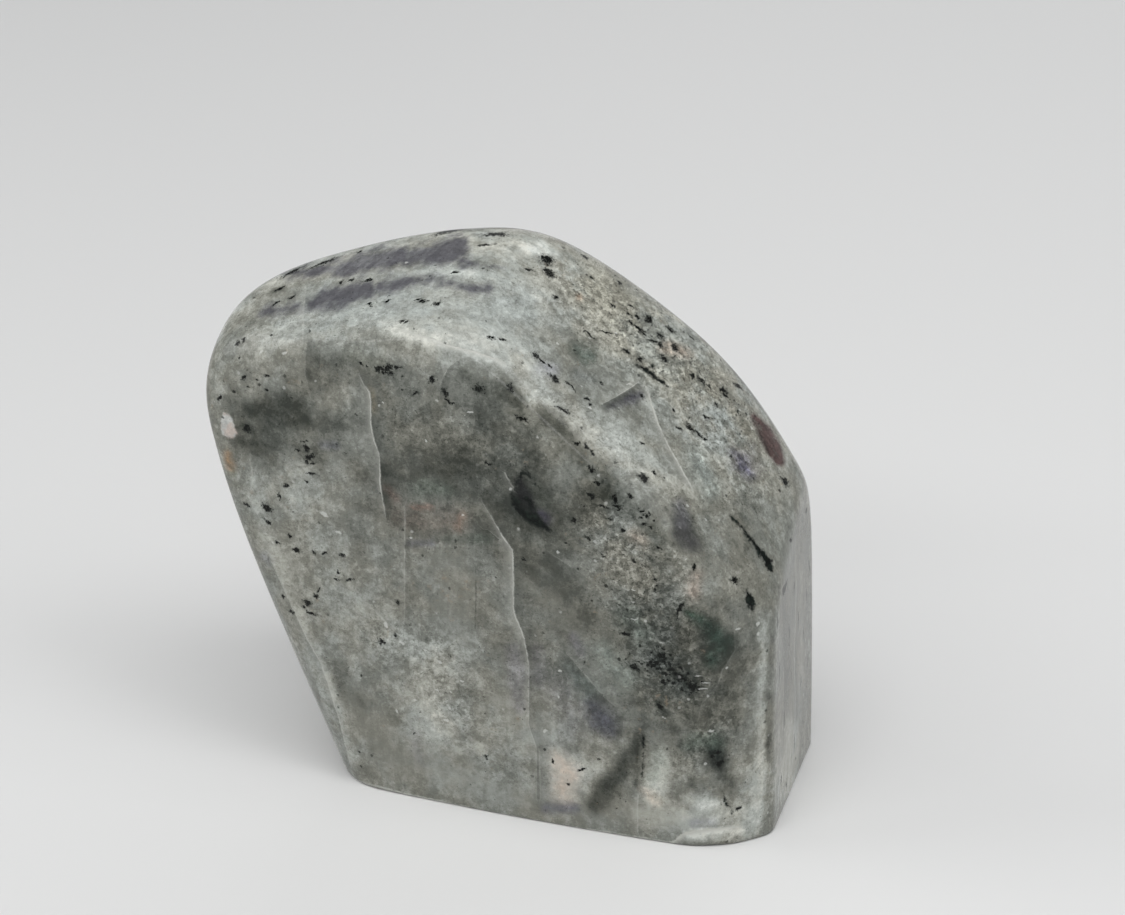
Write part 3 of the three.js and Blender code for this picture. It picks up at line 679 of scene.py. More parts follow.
# the other sides are marked the same way, each in a view of its own
farMarks = {
    "behind": {
        "shades": {
            "darkBank": (-0.26, 26, [(400, 320, 12), (480, 372, 30), (580, 402, 28), (690, 440, 12)]),
            "darkTail": (-0.16, 20, [(560, 300, 10), (620, 345, 16), (700, 380, 14)]),
            "paleMiddle": (0.24, 28, [(370, 500, 12), (450, 520, 30), (540, 475, 14)]),
            "paleTop": (0.20, 18, [(500, 262, 6), (590, 258, 12), (660, 285, 16), (740, 345, 10)]),
            "paleSlope": (0.16, 18, [(680, 220, 6), (760, 250, 14), (830, 290, 14)]),
            "smoke": (-0.36, 8, [(596, 532, 5), (618, 540, 11), (650, 536, 8)]),
            "smokeLow": (-0.30, 14, [(372, 640, 8), (430, 664, 18), (510, 668, 8)]),
            "pane": (-0.20, 5, [(508, 560, 4), (545, 600, 18), (590, 650, 20), (600, 700, 8)]),
            "paneHigh": (-0.18, 5, [(470, 300, 5), (476, 340, 9), (470, 372, 4)]),
            "besideCrack": (0.14, 4, [(488, 420, 2), (494, 480, 3), (504, 545, 3)]),
            "rimPale": (0.16, 10, [(344, 400, 4), (340, 540, 5), (340, 680, 5)]),
            "footPale": (0.20, 14, [(380, 712, 8), (500, 720, 8), (640, 728, 8)]),
            "cream": (0.28, 7, [(432, 700, 8), (448, 706, 6)]),
            "cornerDark": (-0.16, 14, [(724, 470, 8), (716, 560, 12), (690, 650, 10)]),
            "leftDark": (-0.18, 22, [(860, 330, 12), (830, 430, 20), (790, 560, 12)]),
            "leftPale": (0.16, 18, [(780, 600, 10), (745, 680, 14)]),
            "crystals": (0.16, 16, [(620, 440, 12), (660, 500, 16), (690, 560, 10)]),
        },
        "stains": {
            "greenBank": ((0.075, 0.10, 0.082), 0.6, 12, [(520, 385, 8), (548, 402, 12), (590, 398, 6)]),
            "smoke": ((0.085, 0.084, 0.098), 0.8, 7, [(600, 533, 4), (620, 540, 10), (646, 536, 7)]),
            "cool": ((0.27, 0.31, 0.30), 0.45, 24, [(400, 510, 20), (500, 490, 16)]),
            "cream": ((0.52, 0.44, 0.36), 0.6, 7, [(434, 700, 6), (448, 706, 4)]),
            "rust": ((0.30, 0.19, 0.11), 0.55, 5, [(706, 420, 2), (712, 436, 3)]),
            "pink": ((0.32, 0.22, 0.17), 0.5, 4, [(560, 454, 2), (580, 458, 2)]),
            "redLens": ((0.085, 0.055, 0.050), 0.85, 3, [(402, 402, 2), (412, 412, 6), (426, 420, 4)]),
            "greenFoot": ((0.10, 0.135, 0.11), 0.55, 10, [(560, 690, 8), (610, 698, 8)]),
            "warm": ((0.33, 0.325, 0.265), 0.35, 24, [(690, 250, 12), (780, 285, 16)]),
        },
        "violet": {
            "slopeHigh": [(668, 226, 2), (700, 232, 5), (748, 246, 8), (792, 262, 6), (822, 276, 2)],
            "slopeLow": [(700, 262, 3), (738, 276, 5), (770, 294, 4), (800, 318, 2)],
            "backBand": [(350, 598, 3), (392, 590, 8), (430, 578, 9), (462, 566, 4)],
        },
        "ink": {
            "lens": [(652, 352, 1), (662, 362, 4), (676, 372, 5), (690, 386, 1.5)],
            "streak": [(420, 452, 1), (436, 446, 2.4), (452, 444, 3), (470, 436, 1)],
            "thread": [(604, 470, 0.8), (612, 486, 1.6), (614, 502, 1)],
            "blob": [(540, 640, 3), (548, 648, 6), (560, 650, 3)],
            "heart": [(730, 400, 2), (736, 408, 4), (746, 410, 2)],
        },
        "cracks": {
            "long": (0.55, [
                (478, 250, 0.1), (484, 290, 0.6), (480, 330, 1.0), (490, 372, 1.1), (488, 428, 0.9),
                (498, 486, 1.2), (508, 548, 1.0), (504, 602, 0.6), (514, 660, 0.5), (512, 735, 0.2)]),
            "slant": (0.45, [
                (596, 500, 0.1), (628, 470, 0.8), (652, 436, 1.0), (690, 402, 0.6), (712, 372, 0.1)]),
            "low": (0.5, [(600, 735, 0.2), (606, 690, 0.7), (596, 650, 0.9), (606, 610, 0.2)]),
        },
        "faintCracksAndHighlights": {
            "levelHigh": (0.5, [(388, 338, 0.1), (430, 330, 0.3), (478, 334, 0.1)]),
            "seam": (0.2, [(560, 420, -0.1), (556, 480, -0.6), (560, 540, -0.4)]),
            "fine": (0.1, [(410, 560, 0.1), (440, 590, 0.5), (460, 634, 0.3), (464, 680, 0.1)]),
            "slope": (0.3, [(676, 300, 0.1), (720, 296, 0.5), (770, 312, 0.2)]),
            "corner": (0.3, [(770, 420, 0.1), (752, 470, 0.6), (742, 540, 0.3)]),
        },
        "grit": {
            "crystals": (0.9, 22, [(600, 450, 12), (660, 500, 26), (690, 570, 14)]),
            "left": (0.6, 26, [(380, 440, 14), (430, 500, 26)]),
        },
        "pepper": {
            "middle": (0.6, 30, [(560, 440, 25), (640, 520, 30)]),
            "slope": (0.7, 26, [(660, 250, 14), (760, 290, 22)]),
        },
        "calm": {
            "pane": (0.7, 12, [(550, 610, 18), (590, 670, 18)]),
            "foot": (0.7, 14, [(400, 700, 12), (520, 715, 10)]),
        },
    },
    "left": {
        "shades": {
            "darkTop": (-0.22, 18, [(560, 320, 10), (620, 340, 16), (680, 380, 12)]),
            "dark": (-0.20, 20, [(520, 440, 10), (560, 500, 18), (600, 560, 12)]),
            "pale": (0.20, 22, [(640, 500, 14), (650, 600, 20), (620, 690, 14)]),
            "paleLow": (0.14, 14, [(520, 700, 10), (560, 735, 10)]),
            "smoke": (-0.28, 7, [(560, 622, 5), (576, 632, 9), (590, 650, 4)]),
            "limb": (0.12, 10, [(480, 400, 4), (488, 560, 5), (500, 700, 5)]),
        },
        "stains": {
            "green": ((0.095, 0.125, 0.10), 0.55, 10, [(545, 480, 6), (560, 505, 10)]),
            "rust": ((0.30, 0.20, 0.12), 0.5, 5, [(640, 420, 3), (646, 440, 3)]),
            "cool": ((0.26, 0.30, 0.29), 0.4, 18, [(640, 560, 16), (636, 640, 16)]),
        },
        "violet": {
            "side": [(516, 372, 2), (548, 378, 5), (590, 392, 6), (622, 408, 3)],
        },
        "ink": {
            "fleck": [(586, 560, 1), (594, 570, 3), (600, 584, 2)],
            "streak": [(540, 655, 1), (552, 662, 2.2), (566, 664, 1)],
        },
        "cracks": {
            "upright": (0.5, [
                (598, 300, 0.1), (604, 360, 0.7), (612, 420, 1.0), (606, 480, 0.9), (616, 540, 0.5),
                (618, 590, 0.1)]),
        },
        "faintCracksAndHighlights": {
            "fine": (0.3, [(520, 560, 0.1), (532, 620, 0.5), (530, 690, 0.2)]),
            "slant": (0.2, [(640, 470, 0.1), (664, 520, 0.5), (690, 550, 0.1)]),
        },
        "grit": {"middle": (0.8, 20, [(620, 500, 16), (640, 590, 20)])},
        "pepper": {"middle": (0.6, 24, [(560, 420, 20), (600, 540, 24)])},
    },
    "right": {
        "shades": {
            "dark": (-0.12, 16, [(380, 560, 10), (400, 640, 18), (380, 720, 10)]),
            "pale": (0.10, 16, [(460, 560, 12), (470, 680, 18)]),
            "low": (-0.10, 12, [(480, 740, 8), (510, 700, 6)]),
            "backEdge": (-0.16, 16, [(560, 400, 10), (580, 520, 14), (570, 640, 12)]),
        },
        "ink": {
            "fleck": [(500, 560, 1), (506, 572, 2.2), (508, 586, 1)],
        },
        "cracks": {
            "upright": (0.3, [(436, 500, 0.1), (442, 570, 0.5), (436, 640, 0.7), (446, 720, 0.2)]),
        },
        "faintCracksAndHighlights": {
            "fine": (0.2, [(380, 600, 0.1), (384, 660, 0.4), (380, 730, 0.1)]),
        },
        # short dark dashes standing upright in the right end
        "speck": [
            (352, 560, 5, 0.7, 88), (362, 622, 7, 0.8, 92), (371, 583, 4, 0.6, 90), (388, 690, 6, 0.8, 88),
            (396, 540, 5, 0.6, 90), (408, 604, 8, 0.8, 91), (420, 655, 5, 0.7, 89), (430, 560, 6, 0.8, 92),
            (452, 610, 7, 0.9, 90), (463, 530, 4, 0.7, 88), (470, 690, 8, 0.8, 91), (482, 640, 5, 0.8, 90),
            (494, 600, 6, 0.8, 90), (376, 754, 5, 0.8, 90), (440, 745, 6, 0.7, 89), (506, 680, 7, 0.9, 90),
            (415, 500, 3, 1.6, 20), (486, 500, 2.6, 1.8, 40), (400, 772, 2.4, 1.6, 10),
        ],
    },
}

# marks of chance: how many clusters, most marks in one, and sizes in mm
strewn = {
    "seed": 11,
    "clusterSize": 5.5 * mm,
    "speckClusters": 46,
    "speckMost": 8,
    "speckSize": 0.42,
    "sparkClusters": 22,
    "sparkMost": 3,
    "sparkSize": 0.34,
    "sizeSpread": 0.4,
    "widths": (0.25, 0.8),  # least and most, in shares of the length
    "turned": (0.6, 0.6, 1.0),      # the greater the last, the more level they lie
    "turnedAway": -0.05,    # strewn only where the stone faces this far away from the main view
    "lowest": 1.5 * mm,
}

allMarks = {
    "main": {
        "shades": shades, "stains": stains, "violet": violetBands, "ink": inkyMarks, "chip": paleChips,
        "cracks": cracks, "faintCracksAndHighlights": faintCracksAndHighlights, "speck": specks, "spark": sparks, **textureAreas,
    },
    **farMarks,
}


# every mark of one kind, with the view it is laid in
def rowsOf(kind):
    for view, kinds in allMarks.items():
        for row in kinds.get(kind, {}).values():
            yield view, row


# how the marks are laid on the stone
laying = {
    "seed": 5,
    "wander": 6,            # pixels that soft marks stray by
    "wanderLength": 4.5 * mm,
    "wanderFull": 12,       # softness, in pixels, from which they stray that far
    "turnedAway": -0.3,     # marks end where the stone has turned this far from their view
    "turnFade": 0.4,
    "searchSteps": 60,      # a point beside the stone moves in until it meets it
    "searchStride": 1.5,    # pixels
    "strokeSpan": 1.8,      # a stroke covers stone within so many half widths of it
    "strokeSpare": 3 * mm,      # and this much more
    "nearby": 4 * mm,       # the same for cracks and small marks
    "smallReach": 3.0,      # sizes of a small mark, as far out as it is looked for
    "deepest": 3.0,         # mm, as far as a crisp mark's depth is measured
    "crackReach": 3.2,      # mm to each side that a crack is looked for
    "faintReach": 1.1,
    "crackFade": 6,         # pixels past its ends over which a crack fades
    "unmarked": 0.12,       # grit, pepper and calm where none is laid
    "unstained": 0.2,       # grey where no stain is laid
}

coordinates = np.empty(len(stone.data.vertices) * 3)
stone.data.vertices.foreach_get("co", coordinates)
surface = coordinates.reshape(-1, 3)
touchTree = BVHTree.FromPolygons(surface.tolist(), [tuple(face.vertices) for face in stone.data.polygons])
noise.seed_set(laying["seed"])
wander = np.array([noise.noise_vector(Vector(point / laying["wanderLength"])) for point in surface])
surfaceSeen = {view: seen(view, surface) for view in views}
surfaceNormals = np.array([vertex.normal for vertex in stone.data.vertices])
facePoints = np.array([face.center for face in stone.data.polygons])


# the point of the stone, and its normal, that shows at a pixel of a view
def touch(view, across, down):
    middleSeen = seen(view, stoneMiddle)
    for step in range(laying["searchSteps"]):
        direction = sightLine(view, across, down)
        place, normal, face, distance = touchTree.ray_cast(Vector(eyeOf(view)), Vector(direction))
        if place is not None:
            return np.array(place), np.array(normal)
        across, down = np.array((across, down)) + unit(middleSeen - (across, down)) * laying["searchStride"]
    raise ValueError("no stone at that pixel")


# where the stone's points lie beside one stretch of a mark: how far along it, as a share of its
# length, which way and how far off in pixels, and how far off in space
def besideStretch(view, flat, start, end):
    run = end - start
    along = (flat - start) @ run / max(run @ run, 1e-6)
    share = np.clip(along, 0, 1)
    apart = flat - start - share[:, None] * run
    startPlace, endPlace = touch(view, *start)[0], touch(view, *end)[0]
    inSpace = np.linalg.norm(surface - startPlace - share[:, None] * (endPlace - startPlace), axis=1)
    return along, share, apart, inSpace


# how far inside a stroke each point is, in pixels, below zero outside it
def insideStroke(view, points, flat, spare):
    if len(points) == 1:
        points = points * 2
    depth = np.full(len(surface), -1000.0)
    for (*start, startHalf), (*end, endHalf) in zip(points, points[1:]):
        along, share, apart, inSpace = besideStretch(view, flat, np.array(start), np.array(end))
        span = (max(startHalf, endHalf) + spare) * pixel * laying["strokeSpan"] + laying["strokeSpare"]
        inside = startHalf + (endHalf - startHalf) * share - np.linalg.norm(apart, axis=1)
        depth = np.where(inSpace < span, np.maximum(depth, inside), depth)
    return depth


def softStep(value):
    value = np.clip(value, 0, 1)
    return value * value * (3 - 2 * value)


# marks fade out where the stone turns away from the view they are laid in
def facingShare(view):
    towards = eyeOf(view) - surface
    turn = np.einsum("ij,ij->i", surfaceNormals, towards) / np.linalg.norm(towards, axis=1)
    return softStep((turn - laying["turnedAway"]) / laying["turnFade"])


turnedToUs = {view: facingShare(view) for view in views}


def softCover(view, edge, points):
    flat = surfaceSeen[view] + wander[:, :2] * laying["wander"] * min(1, edge / laying["wanderFull"])
    depth = insideStroke(view, points, flat, edge)
    return softStep((depth + edge) / (2 * edge)) * turnedToUs[view]


# depth inside the nearest of several crisp marks, in mm
def crispDepth(kind):
    depth = np.full(len(surface), -laying["deepest"])
    reachPixels = laying["deepest"] * mm / pixel
    for view, points in rowsOf(kind):
        inside = insideStroke(view, points, surfaceSeen[view], reachPixels) * pixel / mm
        depth = np.maximum(depth, inside - (1 - turnedToUs[view]) * laying["deepest"])
    return np.clip(depth, -laying["deepest"], laying["deepest"])


# for each point: signed mm from the nearest line, cracks and painted highlight lines alike, its glow and
# its step in tone
def crackAndHighlightField(kind, reachSide):
    nearest = np.full(len(surface), 1000.0)
    field = np.zeros((len(surface), 3))
    for view, (step, points) in rowsOf(kind):
        for number, ((*start, startGlow), (*end, endGlow)) in enumerate(zip(points, points[1:])):
            start, end = np.array(start), np.array(end)
            along, share, apart, inSpace = besideStretch(view, surfaceSeen[view], start, end)
            run = end - start
            length = np.linalg.norm(run)
            gap = np.linalg.norm(apart, axis=1)
            side = np.sign(run[0] * apart[:, 1] - run[1] * apart[:, 0])
            fade = np.ones(len(surface))
            if number == 0:
                fade = softStep(1 + np.minimum(along, 0) * length / laying["crackFade"])
            if number == len(points) - 2:
                fade = fade * softStep(1 - np.maximum(along - 1, 0) * length / laying["crackFade"])
            fade = fade * softStep(2 - 2 * gap * pixel / mm / reachSide) * turnedToUs[view]
            closer = (gap < nearest) & (inSpace < laying["nearby"])
            nearest = np.where(closer, gap, nearest)
            glow = startGlow + (endGlow - startGlow) * share
            values = np.stack((-side * gap * pixel / mm, fade * glow, fade * step), -1)
            field = np.where(closer[:, None], values, field)
    return field


# where a stretch of a view's pixels runs on the stone, as a scaled axis: 1 at the mark's tip
def markAxis(view, centre, normal, across, down):
    direction = sightLine(view, across, down)
    eye = eyeOf(view)
    tip = eye + direction * ((centre - eye) @ normal) / (direction @ normal) - centre
    return tip / (tip @ tip)


# each laid mark as its middle and its two scaled axes
def laidMarks(kind):
    for view, kinds in allMarks.items():
        for across, down, halfLong, halfWide, lean in kinds.get(kind, []):
            centre, normal = touch(view, across, down)
            x, y = math.cos(math.radians(lean)), math.sin(math.radians(lean))
            longAxis = markAxis(view, centre, normal, across + x * halfLong, down + y * halfLong)
            wideAxis = markAxis(view, centre, normal, across - y * halfWide, down + x * halfWide)
            yield centre, longAxis, wideAxis


# small marks strewn in loose clusters over the sides the main view doesn't show
def strewnMarks(kind):
    chance = np.random.default_rng(strewn["seed"])
    normals = np.array([face.normal for face in stone.data.polygons])
    areas = np.array([face.area for face in stone.data.polygons])
    facingUs = np.einsum("ij,ij->i", normals, eyeOf("main") - facePoints) / viewpoint["distance"]
    areas[(facingUs > strewn["turnedAway"]) | (facePoints[:, 2] < strewn["lowest"])] = 0
    for cluster in range(strewn[kind + "Clusters"]):
        home = facePoints[chance.choice(len(areas), p=areas / areas.sum())]
        near = areas * np.exp(-(np.linalg.norm(facePoints - home, axis=1) / strewn["clusterSize"]) ** 2)
        for number in range(chance.integers(1, strewn[kind + "Most"] + 1)):
            face = chance.choice(len(areas), p=near / near.sum())
            along = unit(np.cross(normals[face], chance.normal(0, strewn["turned"])))
            halfLong = strewn[kind + "Size"] * mm * chance.lognormal(0, strewn["sizeSpread"])
            halfWide = halfLong * chance.uniform(*strewn["widths"])
            yield facePoints[face], along / halfLong, unit(np.cross(normals[face], along)) / halfWide


def storeSmall(kind):
    closest = np.full(len(facePoints), laying["smallReach"])
    # a face with no mark near it gets one far below the stone
    at = np.tile((0.0, 0.0, -1.0), (len(facePoints), 1))
    long = np.tile((0.0, 0.0, 1000.0), (len(facePoints), 1))
    wide = np.zeros((len(facePoints), 3))
    for centre, longAxis, wideAxis in [*laidMarks(kind), *strewnMarks(kind)]:
        apart = facePoints - centre
        far = np.hypot(apart @ longAxis, apart @ wideAxis)
        closer = (far < closest) & (np.linalg.norm(apart, axis=1) < laying["nearby"])
        closest = np.where(closer, far, closest)
        at[closer], long[closer], wide[closer] = centre, longAxis, wideAxis
    for part, values in (("At", at), ("Long", long), ("Wide", wide)):
        storeFace(kind + part, values)


def storeFace(name, vectors):
    attribute = stone.data.attributes.new(name, "FLOAT_VECTOR", "FACE")
    attribute.data.foreach_set("vector", vectors.ravel())


def storePoint(name, values):
    if values.ndim == 1:
        stone.data.attributes.new(name, "FLOAT", "POINT").data.foreach_set("value", values)
    elif values.shape[1] == 3:
        stone.data.attributes.new(name, "FLOAT_VECTOR", "POINT").data.foreach_set("vector", values.ravel())
    else:
        stone.data.attributes.new(name, "FLOAT_COLOR", "POINT").data.foreach_set("color", values.ravel())


def layShades():
    tone = np.zeros(len(surface))
    for view, (amount, edge, points) in rowsOf("shades"):
        tone += amount * softCover(view, edge, points)
    storePoint("shade", tone)


def layStains():
    colour = np.zeros((len(surface), 4))
    colour[:, :3] = laying["unstained"]
    for view, (stain, amount, edge, points) in rowsOf("stains"):
        cover = (softCover(view, edge, points) * amount)[:, None]
        share = cover / (cover + colour[:, 3:] + 1e-6)
        colour[:, :3] += (np.array(stain) - colour[:, :3]) * share
        colour[:, 3:] += cover * (1 - colour[:, 3:])
    storePoint("stain", colour)


# how gritty, how peppered with dark specks or how calm the stone is
def layArea(kind):
    level = np.full(len(surface), laying["unmarked"])
    for view, (amount, edge, points) in rowsOf(kind):
        level = np.maximum(level, softCover(view, edge, points) * amount)
    storePoint(kind, level)


layShades()
layStains()
for kind in ("grit", "pepper", "calm"):
    layArea(kind)
for kind in ("violet", "ink", "chip"):
    storePoint(kind + "Depth", crispDepth(kind))
storePoint("cracks", crackAndHighlightField("cracks", laying["crackReach"]))
storePoint("faintCracksAndHighlights", crackAndHighlightField("faintCracksAndHighlights", laying["faintReach"]))
storeSmall("speck")
storeSmall("spark")
print("markings laid")


# linear colours of the polished stone, and the sizes of its texture in mm
labradorite = {
    "black": (0.040, 0.044, 0.038),
    "dark": (0.096, 0.100, 0.089),
    "body": (0.210, 0.214, 0.194),
    "pale": (0.420, 0.432, 0.408),
    "white": (0.700, 0.710, 0.680),
    "violet": (0.084, 0.083, 0.094),
    "violetPale": (0.215, 0.218, 0.224),
    "ink": (0.003, 0.005, 0.004),
    "inkGreen": (0.013, 0.019, 0.015),
    "speck": (0.003, 0.004, 0.003),
    "chip": (0.52, 0.53, 0.51),
    "chipWarm": (0.50, 0.44, 0.40),
    "spark": (0.68, 0.69, 0.66),
    # pale line colour of cracks, and of the painted highlight lines
    "crack": (0.50, 0.505, 0.465),
    "plainTint": (1.0, 1.0, 0.963),
    "warmTint": (1.07, 1.0, 0.89),
    "coolTint": (0.93, 1.0, 1.035),
    "rusty": (0.30, 0.235, 0.165),
    "cloud": 13,
    "mottle": 3.0,
    "grain": 0.8,
    "crystal": 0.6,
    "largeCrystal": 1.9,
    "dust": 0.22,
    "beds": 1.45,           # the stone lies in thin beds parallel to its front
    "fineBeds": 1.15,
}

# how strongly each layer of the texture shows
strength = {
    "cloud": 0.22,
    "mottle": 0.32,
    "patches": 0.08,
    "largeCrystal": 0.07,
    "dust": 0.20,
    "streaks": 0.11,
    # on plain stone, and how much more where it is all grit
    "crystal": (0.05, 0.20),
    "grain": (0.28, 0.65),
    "darkStreak": (-0.10, -0.20),
    "paleStreak": (0.05, 0.12),
    # how far each mark hides the stone under it
    "rusty": 0.45,
    "violet": 0.94,
    "chip": 0.92,
    "fineGrains": 0.7,
    "coarseGrains": 0.95,
    "tinyGrains": 0.85,
    "speckHaze": 0.5,
    "laidSparks": 0.55,
    "strewnSparks": 0.5,
    "crackHaze": 0.16,
    "crackRim": 0.25,
    "crackPane": 0.55,
    "crackMost": 0.9,
    "paneMost": 0.8,
}

# where each mark begins and where it is whole
edges = {
    # mm inside its outline
    "violet": (-0.8, 0.8),
    "ink": (-0.18, 0.25),
    "chip": (-0.12, 0.22),
    # in sizes of the mark, out from its middle
    "speck": (1.35, 0.85),
    "speckHaze": (2.2, 0.9),
    "speckCrumbs": (2.4, 1.4),
    "spark": (1.2, 0.6),
    # mm to the side of the line, for cracks and painted highlight lines alike
    "crackLine": (0.17, 0.03),
    "crackHaze": (2.2, 0.0),
    "crackRim": (0.7, 0.05),
    "crackPane": (2.8, 0.0),
}

# how smooth the polish is, heights in mm
polish = {
    "roughness": 0.10,
    "uneven": 0.10,
    "pitRoughness": 0.12,
    "grooveRoughness": 0.2,
    "gritRoughness": 0.04,
    "ior": 1.56,
    "specular": 0.13,
    "waves": 0.030,
    "ripples": 0.006,
    "grooveHeight": -0.03,
    "pitHeight": -0.02,
}

finish = bpy.data.materials.new("polishedLabradorite")
finish.use_nodes = True
tree = finish.node_tree
shader = tree.nodes["Principled BSDF"]


def feed(socket, value):
    if isinstance(value, bpy.types.NodeSocket):
        tree.links.new(value, socket)
    elif isinstance(value, tuple) and len(value) < len(socket.default_value):
        socket.default_value = (*value, 1)
    else:
        socket.default_value = value


def calc(operation, *values):
    node = tree.nodes.new("ShaderNodeMath")
    node.operation = operation
    for socket, value in zip(node.inputs, values):
        feed(socket, value)
    return node.outputs[0]


def vectorCalc(operation, first, second):
    node = tree.nodes.new("ShaderNodeVectorMath")
    node.operation = operation
    feed(node.inputs[0], first)
    feed(node.inputs[1], second)
    return node.outputs["Value"] if operation == "DOT_PRODUCT" else node.outputs["Vector"]


def addUp(total, *values):
    for value in values:
        total = calc("ADD", total, value)
    return total


def times(total, *values):
    for value in values:
        total = calc("MULTIPLY", total, value)
    return total


def most(total, *values):
    for value in values:
        total = calc("MAXIMUM", total, value)
    return total


# how far a value lies from one limit to the other, eased, from 0 to 1
def between(value, start, end):
    node = tree.nodes.new("ShaderNodeMapRange")
    node.interpolation_type = "SMOOTHSTEP"
    feed(node.inputs["Value"], value)
    feed(node.inputs["From Min"], start)
    feed(node.inputs["From Max"], end)
    return node.outputs["Result"]


def cloudNode(place, size, detail, rough):
    node = tree.nodes.new("ShaderNodeTexNoise")
    feed(node.inputs["Vector"], place)
    node.inputs["Scale"].default_value = 1 / size
    node.inputs["Detail"].default_value = detail
    node.inputs["Roughness"].default_value = rough
    return node


def cloudy(place, size, detail=2.0, rough=0.5):
    return cloudNode(place, size, detail, rough).outputs["Fac"]


# noise that swings evenly either side of zero
def sway(place, size, amount, detail=2.0, rough=0.5):
    return times(calc("SUBTRACT", cloudy(place, size, detail, rough), 0.5), amount)


# distance from the middle of a cell, and two numbers that differ from cell to cell
def cells(place, size):
    node = tree.nodes.new("ShaderNodeTexVoronoi")
    feed(node.inputs["Vector"], place)
    node.inputs["Scale"].default_value = 1 / size
    parts = tree.nodes.new("ShaderNodeSeparateColor")
    tree.links.new(node.outputs["Color"], parts.inputs["Color"])
    return node.outputs["Distance"], parts.outputs["Red"], parts.outputs["Green"]


def stored(name, output="Fac"):
    node = tree.nodes.new("ShaderNodeAttribute")
    node.attribute_name = name
    return node.outputs[output]


def storedParts(name):
    node = tree.nodes.new("ShaderNodeSeparateXYZ")
    tree.links.new(stored(name, "Vector"), node.inputs["Vector"])
    return node.outputs["X"], node.outputs["Y"], node.outputs["Z"]


def blend(amount, first, second, how="MIX"):
    node = tree.nodes.new("ShaderNodeMix")
    node.data_type = "RGBA"
    node.blend_type = how
    feed(node.inputs[0], amount)
    feed(node.inputs[6], first)
    feed(node.inputs[7], second)
    return node.outputs[2]


def toneColour(tone):
    node = tree.nodes.new("ShaderNodeValToRGB")
    ramp = node.color_ramp.elements
    ramp[0].color = (*labradorite["black"], 1)
    ramp[1].color = (*labradorite["white"], 1)
    for position, name in ((0.25, "dark"), (0.5, "body"), (0.75, "pale")):
        ramp.new(position).color = (*labradorite[name], 1)
    feed(node.inputs["Fac"], tone)
    return node.outputs["Color"]


coordinateNode = tree.nodes.new("ShaderNodeTexCoord")
place = coordinateNode.outputs["Object"]
placeMm = vectorCalc("MULTIPLY", place, (1000, 1000, 1000))
bedded = vectorCalc("MULTIPLY", placeMm, (1, labradorite["beds"], 1))
fineBedded = vectorCalc("MULTIPLY", placeMm, (1, labradorite["fineBeds"], 1))
grit = stored("grit")


def swayVector(size, amount):
    node = cloudNode(placeMm, size, 2.0, 0.65)
    centred = vectorCalc("SUBTRACT", node.outputs["Color"], (0.5, 0.5, 0.5))
    return vectorCalc("MULTIPLY", centred, (amount, amount, amount))


# how far out from the middle of the nearest laid mark, 1 at its edge
def markSpan(name, size, ragged):
    strayed = vectorCalc("ADD", place, swayVector(size, ragged * mm))
    apart = vectorCalc("SUBTRACT", strayed, stored(name + "At", "Vector"))
    along = vectorCalc("DOT_PRODUCT", apart, stored(name + "Long", "Vector"))
    aside = vectorCalc("DOT_PRODUCT", apart, stored(name + "Wide", "Vector"))
    return calc("SQRT", addUp(times(along, along), times(aside, aside)))


# a grey to multiply colours by, one where the tone is left as it is
def grey(tone):
    node = tree.nodes.new("ShaderNodeCombineColor")
    for socket in node.inputs[:3]:
        feed(socket, calc("EXPONENT", times(tone, 3.0)))
    return node.outputs["Color"]


def byGrit(name):
    plain, gritty = strength[name]
    return addUp(times(grit, gritty), plain)


# a colour with the fine texture of the stone in it
def textured(colour, fine, amount):
    return blend(1.0, colour, grey(times(fine, amount)), "MULTIPLY")


# how the fine texture darkens and pales the stone
def fineTexture():
    mottle = sway(bedded, labradorite["mottle"], strength["mottle"], 4.0, 0.66)
    patches = between(cloudy(bedded, 2.0, 4.0, 0.7), 0.45, 0.55)
    patches = times(calc("SUBTRACT", patches, 0.5), strength["patches"])
    # crystals that meet in crisp edges
    strayed = vectorCalc("ADD", fineBedded, swayVector(1.1, 1.8))
    largeCrystal = calc("SUBTRACT", cells(strayed, labradorite["largeCrystal"])[1], 0.5)
    largeCrystal = times(largeCrystal, strength["largeCrystal"])
    crystal = calc("SUBTRACT", cells(strayed, labradorite["crystal"])[1], 0.5)
    crystal = times(crystal, byGrit("crystal"))
    grain = times(sway(fineBedded, labradorite["grain"], 1.0, 4.0, 0.75), byGrit("grain"))
    dust = sway(placeMm, labradorite["dust"], strength["dust"], 2.0, 0.7)
    # little streaks, dark and pale, lying level
    levelled = vectorCalc("MULTIPLY", placeMm, (1, 1, 1.7))
    dark = times(between(cloudy(levelled, 0.42, 3.0, 0.7), 0.58, 0.68), byGrit("darkStreak"))
    light = times(between(cloudy(levelled, 0.36, 2.0, 0.7), 0.62, 0.72), byGrit("paleStreak"))
    streaks = sway(vectorCalc("MULTIPLY", placeMm, (1, 1, 0.12)), 0.9, strength["streaks"], 2.0)
    calmed = addUp(1.15, times(stored("calm"), -0.65))
    fine = addUp(mottle, patches, largeCrystal, crystal, grain, dust, dark, light)
    return addUp(streaks, times(fine, calmed))


